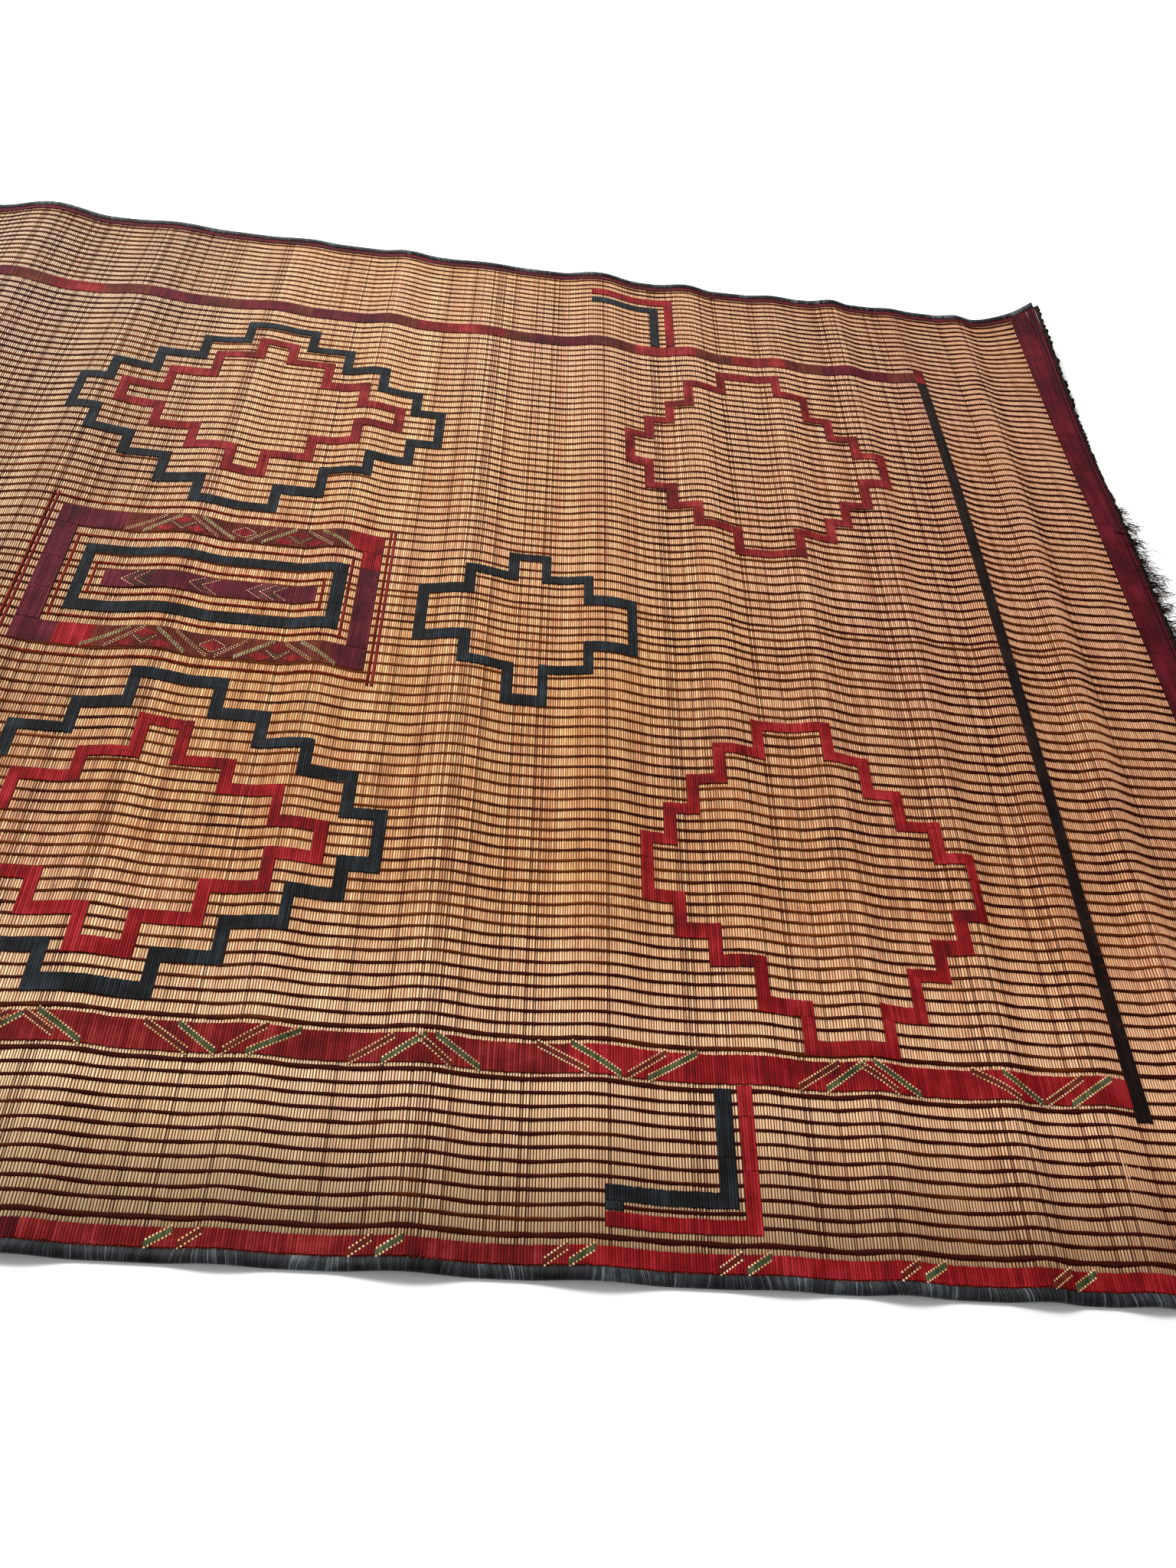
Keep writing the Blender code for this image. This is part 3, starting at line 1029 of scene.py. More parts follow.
@dataclass
class Chart:
    """The traditional pattern of the mat, charted in its own units."""

    middle: float = CHART_MIDDLE_X
    redder: float = -0.3350
    bar_edges: tuple[float, float] = (-0.0072, 0.0030)
    strip_edges: tuple[float, float] = (0.7230, 0.7405)
    far_hook_out: float = 0.012
    changes_seed: int = 17
    # The rectangle's two stitched bands: their low and high lines and the middles of their peaks.
    far_band: tuple[float, float] = (0.5385, 0.5565)
    near_band: tuple[float, float] = (0.4135, 0.4325)
    far_peaks: tuple[float, float] = (-0.6330, -0.5463)
    near_peaks: tuple[float, float] = (-0.6337, -0.5436)
    crossing: float = -0.5880

    def rings(self) -> list[Medallion]:
        """The stepped medallions; those right of the middle come again on the left.

        Returns:
            The medallions.
        """
        near_ring = Medallion(
            Dye.RED,
            (
                (-0.210, -0.153, 0.397), (-0.239, -0.1275, 0.3695), (-0.2577, -0.108, 0.3415),
                (-0.2743, -0.087, 0.3155), (-0.2907, -0.068, 0.289),
            ),
            (
                (-0.2907, -0.068, 0.2345), (-0.2707, -0.0836, 0.2116), (-0.251, -0.1007, 0.189),
                (-0.2243, -0.1198, 0.1614), (-0.1975, -0.1413, 0.136),
            ),
        )
        far_ring = Medallion(
            Dye.MADDER,
            (
                (-0.2064, -0.1466, 0.844), (-0.2386, -0.1216, 0.8215), (-0.2564, -0.1029, 0.788),
                (-0.2757, -0.0814, 0.7625), (-0.2935, -0.0609, 0.737),
            ),
            (
                (-0.2935, -0.0609, 0.6865), (-0.2779, -0.0818, 0.6565), (-0.259, -0.102, 0.6305),
                (-0.2386, -0.119, 0.607), (-0.2064, -0.1475, 0.580),
            ),
        )
        cross = Medallion(
            Dye.BLACK,
            nested(-0.37, (0.0165, 0.049, 0.082), (0.555, 0.532, 0.507)),
            nested(-0.37, (0.082, 0.049, 0.0165), (0.451, 0.425, 0.393)),
        )
        found = [near_ring, far_ring, cross, *(shape.mirrored() for shape in (near_ring, far_ring, cross))]
        for dye, upper, upper_edges, lower, lower_edges in (
            (
                Dye.BLACK,
                (0.032, 0.066, 0.101, 0.132, 0.153), (0.840, 0.8137, 0.787, 0.758, 0.7315),
                (0.153, 0.132, 0.101, 0.066, 0.033), (0.679, 0.654, 0.630, 0.599, 0.574),
            ),
            (
                Dye.MADDER,
                (0.0175, 0.051, 0.086, 0.118), (0.814, 0.790, 0.761, 0.732),
                (0.118, 0.086, 0.051, 0.0175), (0.698, 0.672, 0.644, 0.617),
            ),
            (
                Dye.BLACK,
                (0.0315, 0.0645, 0.098, 0.1275, 0.151), (0.395, 0.367, 0.342, 0.318, 0.290),
                (0.151, 0.131, 0.103, 0.069, 0.035), (0.240, 0.217, 0.192, 0.168, 0.145),
            ),
            (
                Dye.RED,
                (0.0175, 0.050, 0.085, 0.115), (0.352, 0.322, 0.300, 0.275),
                (0.115, 0.088, 0.053, 0.019), (0.243, 0.216, 0.192, 0.170),
            ),
        ):
            tiers = nested(self.middle, upper, upper_edges), nested(self.middle, lower, lower_edges)
            found.append(Medallion(dye, *tiers))
        return found

    def centre(self) -> list[Block]:
        """The long rectangle in the middle: plum and red bands round a black outline and a plum bar.

        Returns:
            Its blocks.
        """
        blocks = (
            (Dye.RUST, -0.7327, -0.7311, 0.400, 0.570),
            (Dye.MADDER, -0.7294, -0.7278, 0.400, 0.570),
            (Dye.RUST, -0.4796, -0.4780, 0.398, 0.566),
            (Dye.MADDER, -0.4763, -0.4747, 0.398, 0.566),
            (Dye.PLUM, -0.7240, -0.7088, 0.4340, 0.5370),
            (Dye.PLUM, -0.4968, -0.4829, 0.4340, 0.5180),
            (Dye.RED, -0.4968, -0.4829, 0.5180, 0.5370),
            (Dye.PLUM, -0.7240, -0.6750, 0.5370, 0.5580),
            (Dye.BROWN, -0.6750, -0.5090, 0.5370, 0.5580),
            (Dye.RED, -0.5090, -0.4829, 0.5370, 0.5580),
            (Dye.PLUM, -0.7240, -0.6960, 0.4120, 0.4340),
            (Dye.RED, -0.6960, -0.6700, 0.4120, 0.4340),
            (Dye.BROWN, -0.6700, -0.5060, 0.4120, 0.4340),
            (Dye.PLUM, -0.5060, -0.4829, 0.4120, 0.4340),
            (Dye.RUST, -0.7048, -0.7032, 0.4395, 0.5290),
            (Dye.MADDER, -0.5034, -0.5018, 0.4395, 0.5290),
            (Dye.BLACK, -0.6975, -0.6880, 0.4475, 0.5190),
            (Dye.BLACK, -0.5154, -0.5064, 0.4475, 0.5190),
            (Dye.BLACK, -0.6880, -0.5154, 0.5088, 0.5190),
            (Dye.BLACK, -0.6880, -0.5154, 0.4475, 0.4588),
            (Dye.RUST, -0.6848, -0.6832, 0.4655, 0.5000),
            (Dye.RUST, -0.5218, -0.5202, 0.4655, 0.5000),
            (Dye.PLUM, -0.6775, -0.5250, 0.4740, 0.4925),
        )
        thin = (
            (0.4028, -0.7290, -0.4780),
            (0.4410, -0.7040, -0.5000),
            (0.4665, -0.6842, -0.5200),
            (0.4990, -0.6842, -0.5200),
            (0.5275, -0.7040, -0.5000),
            (0.5667, -0.7290, -0.4780),
        )
        lines = [Block(Dye.RUST, left, right, y - 0.0012, y + 0.0012) for y, left, right in thin]
        return [*(Block(*block) for block in blocks), *lines]

    def frames(self) -> list[Block]:
        """The bars and hooks round the field.

        Returns:
            Their blocks.
        """
        near = (
            Block(Dye.TAR, *self.bar_edges, 0.1045, 0.8620),
            Block(Dye.BLACK, -0.2535, -0.2440, 0.0410, 0.1100),
            Block(Dye.BLACK, -0.3143, -0.2535, 0.0410, 0.0500),
            Block(Dye.BLACK, -0.3143, -0.3057, 0.0360, 0.0410),
            Block(Dye.RED, -0.2405, -0.2315, 0.0270, 0.1120),
            Block(Dye.RED, -0.3143, -0.2405, 0.0270, 0.0355),
        )
        far_hook = (
            Block(Dye.RED, -0.3240, -0.2520, 0.9570, 0.9680),
            Block(Dye.RED, -0.2520, -0.2440, 0.8800, 0.9680),
            Block(Dye.BLACK, -0.3240, -0.2670, 0.9420, 0.9520),
            Block(Dye.BLACK, -0.2670, -0.2580, 0.8800, 0.9520),
        )
        # The left far hook stands a little further out than its mirror image.
        left_hook = [block.mirrored(self.far_hook_out) for block in far_hook]
        return [*near, *far_hook, *(block.mirrored() for block in near), *left_hook]

    def bands(self) -> list[Block]:
        """The near and far border bands, the bands beside the bindings and those at the two ends.

        Returns:
            Their blocks.
        """
        middle, redder = self.middle, self.redder
        inner, outer = self.strip_edges
        right = self.bar_edges[0]
        left = 2.0 * middle - right
        near_band, strip = (0.1122, 0.1308), (0.0072, 0.0175)
        far_strip, whole = (0.9872, 0.9928), (0.0072, 0.9928)
        blocks = [
            Block(Dye.MADDER, left, redder, *near_band),
            Block(Dye.RED, redder, right, *near_band),
            Block(Dye.WINE, middle - outer, -0.6000, *strip),
            Block(Dye.MADDER, -0.6000, redder, *strip),
            Block(Dye.RED, redder, middle + inner, *strip),
            Block(Dye.WINE, middle - outer, middle + inner, *far_strip),
            Block(Dye.WINE, middle + inner, middle + outer, *whole),
            Block(Dye.WINE, middle - outer, middle - inner, *whole),
            Block(Dye.MADDER, *self.bar_edges, 0.8620, 0.8850),
        ]
        # The far band changes between lengths of red leather and shorter ones of brown.
        rng = np.random.default_rng(self.changes_seed)
        place, red = left, True
        while place < right:
            step = rng.uniform(0.045, 0.085) if red else rng.uniform(0.018, 0.045)
            dye = (Dye.WINE if rng.random() < 0.6 else Dye.MADDER) if red else Dye.BROWN
            blocks.append(Block(dye, place, min(right, place + step), 0.8625, 0.8790))
            place += step
            red = not red
        return blocks

    def diamonds(self) -> list[Diamond]:
        """The red diamonds and half diamonds between the lines of the rectangle's zigzags.

        Returns:
            The diamonds.
        """
        found = []
        for low, high, peaks in ((0.5375, 0.5575, self.far_peaks), (0.4125, 0.4335, self.near_peaks)):
            middle = 0.5 * (low + high)
            found.append(Diamond(self.crossing, middle, 0.0075, 0.0055))
            for x in peaks:
                found.append(Diamond(x, middle + 0.0030, 0.0075, 0.0045))
                found += [Diamond(x + side * 0.0115, low + 0.0040, 0.0080, 0.0038) for side in (-1.0, 1.0)]
        return found

    def limbs(self) -> list[Limb]:
        """The slanting stitched lines of the near bands and the rectangle; green and dotted ones take turns.

        Returns:
            The lines.
        """
        half = [
            Limb(Stitch.DOTTED if index % 2 else Stitch.GREEN, (x0, y0), (x1, y1))
            for index, (x0, y0, x1, y1) in enumerate((
                (-0.642, 0.1215, -0.632, 0.1285), (-0.632, 0.1305, -0.612, 0.1165),
                (-0.624, 0.1310, -0.598, 0.1135), (-0.5685, 0.1305, -0.5420, 0.1130),
                (-0.5504, 0.1305, -0.5270, 0.1130), (-0.5240, 0.1130, -0.5015, 0.1300),
                (-0.5100, 0.1130, -0.4830, 0.1300), (-0.4560, 0.1130, -0.4310, 0.1295),
                (-0.4377, 0.1130, -0.4150, 0.1295), (-0.4196, 0.1290, -0.4000, 0.1130),
                (-0.4100, 0.1305, -0.3834, 0.1130), (-0.3520, 0.1305, -0.3230, 0.1130),
                (-0.3330, 0.1305, -0.3055, 0.1130), (-0.3020, 0.1130, -0.2790, 0.1305),
                (-0.2900, 0.1130, -0.2620, 0.1305), (-0.2045, 0.1130, -0.1790, 0.1305),
                (-0.1885, 0.1130, -0.1640, 0.1305), (-0.1680, 0.1290, -0.1460, 0.1130),
                (-0.1590, 0.1305, -0.1330, 0.1130), (-0.1000, 0.1305, -0.0736, 0.1130),
                (-0.0840, 0.1305, -0.0610, 0.1130), (-0.0587, 0.1130, -0.0330, 0.1305),
                (-0.0430, 0.1130, -0.0170, 0.1300),
            ))
        ]
        edge_lines = []
        for green, dotted in (
            (-0.541, -0.525), (-0.429, -0.443), (-0.333, -0.346), (-0.242, -0.256),
            (-0.150, -0.163), (-0.068, -0.081), (0.008, -0.005), (0.086, 0.073),
        ):
            edge_lines.append(Limb(Stitch.GREEN, (green, 0.0085), (green + 0.0130, 0.0170)))
            edge_lines.append(Limb(Stitch.DOTTED, (dotted, 0.0085), (dotted + 0.0120, 0.0170)))
        # The first three lines stand at the mat's middle and aren't mirrored.
        left = [line.mirrored() for line in (*half[3:], *edge_lines)]
        return [*half, *edge_lines, *left, *self.zigzags(), *self.chevrons()]

    def zigzags(self) -> list[Limb]:
        """The zigzags of the rectangle's two long bands, with small lines round each peak and the crossing.

        Returns:
            The lines.
        """
        cream, khaki, fine, fine_green = Stitch.CREAM, Stitch.KHAKI, Stitch.FINE, Stitch.FINE_GREEN
        far_rows = (
            (cream, -0.6749, -0.6463, True), (khaki, -0.6606, -0.6343, True),
            (cream, -0.6290, -0.6060, False), (khaki, -0.6200, -0.5936, False),
            (cream, -0.5850, -0.5640, True), (khaki, -0.5740, -0.5500, True),
            (cream, -0.5410, -0.5202, False), (khaki, -0.5300, -0.5048, False),
        )
        near_rows = (
            (khaki, -0.6757, -0.6449, True), (cream, -0.6598, -0.6342, True),
            (khaki, -0.6275, -0.6060, False), (cream, -0.6147, -0.5912, False),
            (cream, -0.5850, -0.5640, True), (khaki, -0.5728, -0.5472, True),
            (cream, -0.5400, -0.5190, False), (khaki, -0.5290, -0.5031, False),
        )
        lines = []
        for (low, high), rows, peaks in (
            (self.far_band, far_rows, self.far_peaks),
            (self.near_band, near_rows, self.near_peaks),
        ):
            for stitch, x0, x1, rises in rows:
                lines.append(Limb(stitch, (x0, low if rises else high), (x1, high if rises else low)))
            middle = 0.5 * (low + high)
            for x in peaks:
                for side in (-1.0, 1.0):
                    lines.append(Limb(fine, (x, low + 0.002), (x + side * 0.0085, middle + 0.001)))
                    lines.append(Limb(fine_green, (x, low + 0.0045), (x + side * 0.0060, middle + 0.001)))
            for end in (low + 0.003, high - 0.003):
                for side in (-1.0, 1.0):
                    lines.append(Limb(fine, (self.crossing, end), (self.crossing + side * 0.0095, middle)))
        return lines

    def chevrons(self) -> list[Limb]:
        """The small nested chevrons on the plum bar.

        Returns:
            Their lines.
        """
        point, wings, run, shift = 0.4832, (0.4910, 0.4755), 0.0105, 0.0046
        lines = []
        for first, count in ((-0.6642, 4), (-0.6160, 3), (-0.5751, 5)):
            for index in range(count):
                stitch = Stitch.FINE_GREEN if index % 2 else Stitch.FINE
                x = first + shift * index
                lines += [Limb(stitch, (x, point), (x + run, wing)) for wing in wings]
        return lines


# Leather worked over the reeds


@dataclass
class Inlay:
    """Leather strips worked over the reeds, one short ribbed run to a reed, in one piece per dye."""

    reeds: Reeds
    crown: float = 4.75 * MM
    side: float = 4.25 * MM
    low: float = 1.6 * MM
    slant: float = 0.9 * MM
    longest: float = 70.0 * MM
    cut_margin: float = 8.0 * MM
    overlap: float = 0.4 * MM
    stitch_rise: float = 0.35 * MM
    pale_rise: float = 1.5
    pale_width: float = 0.62
    unevenness: float = 0.12
    sharp_angle: float = math.radians(50.0)
    seed: int = 23

    def split(self, run: Run) -> list[Run]:
        """Cuts a long run into shorter ones that end where thongs cross.

        Args:
            run: The run.

        Returns:
            Its parts, or the run alone where it is short.
        """
        if run.end - run.start <= self.longest:
            return [run]
        places = [over(row.y) for row in ROWS]
        cuts = [place for place in places if run.start + self.cut_margin < place < run.end - self.cut_margin]
        parts, start = [], run.start
        for place, following in zip(cuts, [*cuts[1:], run.end]):
            if following - start > self.longest:
                parts.append(Run(run.reed, start, place + self.overlap))
                start = place - self.overlap
        parts.append(Run(run.reed, start, run.end))
        return parts

    def build(self, name: str, dye: Dye, runs: list[Run], stitch: bool, slot: str) -> bpy.types.Object:
        """Makes the runs of one dye.

        Args:
            name: The piece's name.
            dye: The leather.
            runs: The runs.
            stitch: Whether they are small stitches on top of other leather.
            slot: A material slot name; not used.

        Returns:
            The piece's object.
        """
        if not stitch:
            runs = [part for run in runs for part in self.split(run)]
        rng = np.random.default_rng(self.seed + len(name))
        piece = Piece(name, bar(6, [], lengthways=False), len(runs), rng)
        side, share, high = piece.axes()
        index = np.array([run.reed for run in runs])
        middle = self.reeds.middles[index][:, None]
        half = 0.5 * np.diff(self.reeds.edges)[index][:, None]
        waver = rng.uniform(-0.5, 0.5, (2, len(runs), 1)) * MM * (not stitch)
        start = np.array([[run.start] for run in runs]) + waver[0]
        end = np.array([[run.end] for run in runs]) + waver[1]
        top, bottom = high > 0.5 * HEXAGON, high < -0.5 * HEXAGON
        slant = np.where(top, 0.0 if stitch else self.slant, 0.0)
        y = np.where(share < 0.5, start + slant, end - slant)
        pale = dye is Dye.CREAM
        lift = self.stitch_rise * (self.pale_rise if pale else 1.0) if stitch else 0.0
        crown = self.crown + lift + piece.each(-self.unevenness, self.unevenness) * MM
        up = np.where(top, crown, np.where(bottom, self.low, self.side + lift))
        wide = np.where(top, 1.02, np.where(bottom, 0.8, 1.015)) * (self.pale_width if pale else 1.0)
        laid = LAY.place(middle + half * side * wide, y, up)
        # Painted shade darkens each run's sides below its crown.
        tone = piece.each(), np.where(top, 1.0, 0.6 if stitch else 0.12), 0.0
        obj = piece.finish(laid, tone, dye.value.material())
        obj.data.set_sharp_from_angle(angle=self.sharp_angle)
        return obj


@dataclass
class Thongs:
    """The thongs that bind the reeds, in rows along the mat.

    They wander in four waves, swell every 37 to 57 mm, and are broader and darker at the mat's two ends.
    """

    steps: int = 176
    low: float = 2.3 * MM
    high: float = 4.15 * MM
    unevenness: float = 0.08
    waves: tuple[float, ...] = (6.0, 14.0, 31.0, 70.0)
    wander: tuple[float, float] = (0.10, 0.42)
    swell: float = 0.13
    swell_pace: tuple[float, float] = (110.0, 170.0)
    roughness: float = 0.10
    top_width: float = 0.72
    foot_width: float = 1.08
    broader: float = 1.5 * MM
    right_end: Slope = Slope(0.4, 0.7)
    left_end: Slope = Slope(0.0, -0.45)
    beyond_near: Slope = Slope(-0.60, 0.35)
    near_dark: Slope = Slope(-0.45, -0.40)
    seed: int = 41

    def build(self, name: str, rows: tuple[Row, ...], seed: int) -> bpy.types.Object:
        """Makes some of the rows.

        Args:
            name: The piece's name.
            rows: The rows.
            seed: Seed of their small waverings.

        Returns:
            The piece's object.
        """
        places = [step / self.steps for step in range(1, self.steps)]
        rng = np.random.default_rng(self.seed + seed)
        piece = Piece(name, bar(4, places, lengthways=True), len(rows), rng)
        run, side, level = piece.axes()
        start, end, y_row, width = (
            np.array(values)[:, None]
            for values in zip(*((row.start, row.end, over(row.y), row.width) for row in rows))
        )
        s = start + run * (end - start)
        wave = sum(
            piece.each(*self.wander) * MM * np.sin(s * piece.each(pace, 1.6 * pace) + piece.each(0.0, TURN))
            for pace in self.waves
        )
        swell = 1.0 + self.swell * np.sin(s * piece.each(*self.swell_pace) + piece.each(0.0, TURN))
        swell = swell + piece.scatter(self.roughness)
        ends = (self.right_end.at(s) + self.left_end.at(s)) * self.beyond_near.at(y_row)
        width = width + self.broader * ends
        top = level > 0.0
        y = y_row + wave + 0.5 * side / SQUARE * width * swell * np.where(top, self.top_width, self.foot_width)
        up = np.where(top, self.high + piece.scatter(self.unevenness) * MM, self.low)
        shade = 0.9 * piece.each() - 1.5 * self.near_dark.at(y) - 0.8 * ends
        # Painted shade darkens each thong's foot.
        tone = shade, np.where(top, 1.0, 0.35), 0.0
        return piece.finish(LAY.place(s, y, up), tone, Dye.THONG.value.material())


# The edges


@dataclass
class Binding:
    """The rolled leather binding along one long edge, creased across every 2 to 4.5 mm."""

    side: int
    inner: float = 0.9860
    width: float = 0.0140
    high: float = 7.5 * MM
    middle: float = 3.0 * MM
    low: float = 0.2 * MM
    end: float = 1.4970
    rings: int = 3000
    spacing: tuple[float, float] = (2.0 * MM, 4.5 * MM)
    crease_width: float = 0.8 * MM
    crease_depth: float = 0.22
    slant: float = 2.0 * MM
    tick_place: float = 1.2 * MM
    tick_width: float = 0.6 * MM
    pitch: float = 5.6 * MM
    stitch: float = 3.4 * MM
    stitch_height: float = 4.7 * MM
    stitch_arch: float = 0.35 * MM
    seed: int = 61

    @property
    def word(self) -> str:
        """Which long edge it is on."""
        return "near" if self.side < 0 else "far"

    def build(self) -> bpy.types.Object:
        """Makes the binding round its edge and presses its creases.

        Returns:
            The piece's object.
        """
        bm = bar(10, [], lengthways=True)
        cut(bm, 0, self.rings)
        rng = np.random.default_rng(self.seed + self.side)
        piece = Piece(f"binding_{self.word}_leather", bm, 1, rng)
        run, side, high = piece.axes()
        s = (run * 2.0 - 1.0) * self.end
        creases = np.cumsum(rng.uniform(*self.spacing, 1000)) - self.end - 0.02
        depths = rng.uniform(0.3, 1.0, len(creases))
        at = s + self.slant * np.sin(s * 47.0 + 1.3) * side
        after = np.clip(np.searchsorted(creases, at), 1, len(creases) - 1)
        gap_left, gap_right = at - creases[after - 1], creases[after] - at
        nearest = np.where(gap_left < gap_right, after - 1, after)
        gap = np.minimum(np.abs(gap_left), np.abs(gap_right))
        crease = depths[nearest] * np.exp(-((gap / self.crease_width) ** 2))
        body = 1.0 - self.crease_depth * crease * np.clip(high + 0.5, 0.0, 1.0)
        round_side = np.sign(side) * np.abs(side) ** 0.85 * (0.985 + 0.015 * body)
        y = self.inner + self.width * (0.5 + 0.5 * round_side)
        above = self.middle + (self.high - self.middle - self.low) * np.clip(high, 0.0, 1.0) ** 0.8 * body
        below = self.middle - (self.middle - self.low) * np.clip(-high, 0.0, 1.0) ** 0.5
        laid = LAY.place(s, self.side * y, np.where(high > 0.0, above, below))
        # Each fold between two creases has its own tone; a painted highlight stands as a light tick beside some
        # of them, and painted shade darkens the creases.
        tick_highlights = rng.random(len(creases)) ** 2.5
        tick_highlight = tick_highlights[after] * np.exp(-(((gap_right - self.tick_place) / self.tick_width) ** 2))
        shade = 0.7 * rng.random(len(creases))[after] - 0.30 + 1.8 * tick_highlight
        tone = shade, 1.0 - 0.95 * crease, 0.0
        obj = piece.finish(laid, tone, Dye.BINDING.value.material(), self.side < 0)
        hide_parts(f"binding_{self.word}")
        return obj

    def stitches(self) -> bpy.types.Object:
        """Makes the small sewing stitches along the binding's inner side.

        Returns:
            The piece's object.
        """
        count = int(2.0 * (self.end - 0.01) / self.pitch)
        rng = np.random.default_rng(self.seed + 10 + self.side)
        piece = Piece(f"binding_{self.word}_stitches", bar(5, [], lengthways=True), count, rng)
        run, side, high = piece.axes()
        start = (np.arange(count)[:, None] + 0.5) * self.pitch - self.end + 0.01 + piece.each(-0.5, 0.5) * MM
        s = start + (run - 0.5) * self.stitch
        y = self.inner + 0.35 * MM + 0.55 * MM * side + piece.each(-0.25, 0.25) * MM
        up = self.stitch_height + 0.5 * MM * high + self.stitch_arch * np.cos((run - 0.5) * math.pi)
        laid = LAY.place(s, self.side * y, up)
        tone = piece.each() * 0.8, 0.8, 0.0
        return piece.finish(laid, tone, Dye.RUST.value.material(), self.side < 0)


@dataclass
class EndStrip:
    """The smooth leather strip over one end of the reeds, tooled with fine lines along it."""

    side: int
    inner: float = 1.4813
    width: float = 0.0157
    low: float = 0.3 * MM
    rim: float = 2.6 * MM
    high: float = 4.6 * MM
    line_depth: float = 0.55 * MM
    lines: int = 26
    cuts_across: int = 159
    seed: int = 71
    # From the reeds outward: dyed leather, a dark seam, a ridge painted pale for its highlight and a dark rim.
    tone_places: tuple[float, ...] = (0.0, 0.35, 0.45, 0.55, 0.70, 0.80, 0.88, 1.0)
    tones: tuple[float, ...] = (0.3, 0.2, -1.4, -1.4, 1.7, 1.7, -1.0, -1.4)

    def build(self) -> bpy.types.Object:
        """Makes the strip with ridges along it.

        Returns:
            The piece's object.
        """
        word = "right" if self.side > 0 else "left"
        bm = bmesh.new()
        bmesh.ops.create_cube(bm, size=1.0)
        bmesh.ops.translate(bm, verts=bm.verts, vec=(0.5, 0.5, 0.5))
        cut(bm, 1, self.cuts_across)
        cut(bm, 0, self.lines)
        rng = np.random.default_rng(self.seed + self.side)
        piece = Piece(f"end_strip_leather_{word}", bm, 1, rng)
        out, run, level = piece.axes()
        column = np.rint(out * (self.lines + 1)).astype(int)
        ridge = np.isin(column % 6, (2, 3, 4)).astype(float)
        y = (run * 2.0 - 1.0) * LAY.panel_half_width
        crown = np.sin(np.clip(out, 0.02, 0.98) * math.pi) ** 0.35
        top = self.rim + (self.high - self.rim) * crown - self.line_depth * (1.0 - ridge)
        laid = LAY.place(self.side * (self.inner + self.width * out), y, np.where(level > 0.5, top, self.low))
        # The tooled ridges get a painted highlight and the lines between them get painted shade.
        shade = np.interp(out, self.tone_places, self.tones) + 0.2 * ridge + 0.2 * rng.random(out.shape)
        tone = shade, 0.15 + 0.85 * ridge, 0.0
        obj = piece.finish(laid, tone, Dye.WINE.value.material(), self.side < 0)
        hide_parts(f"end_strip_{word}")
        return obj


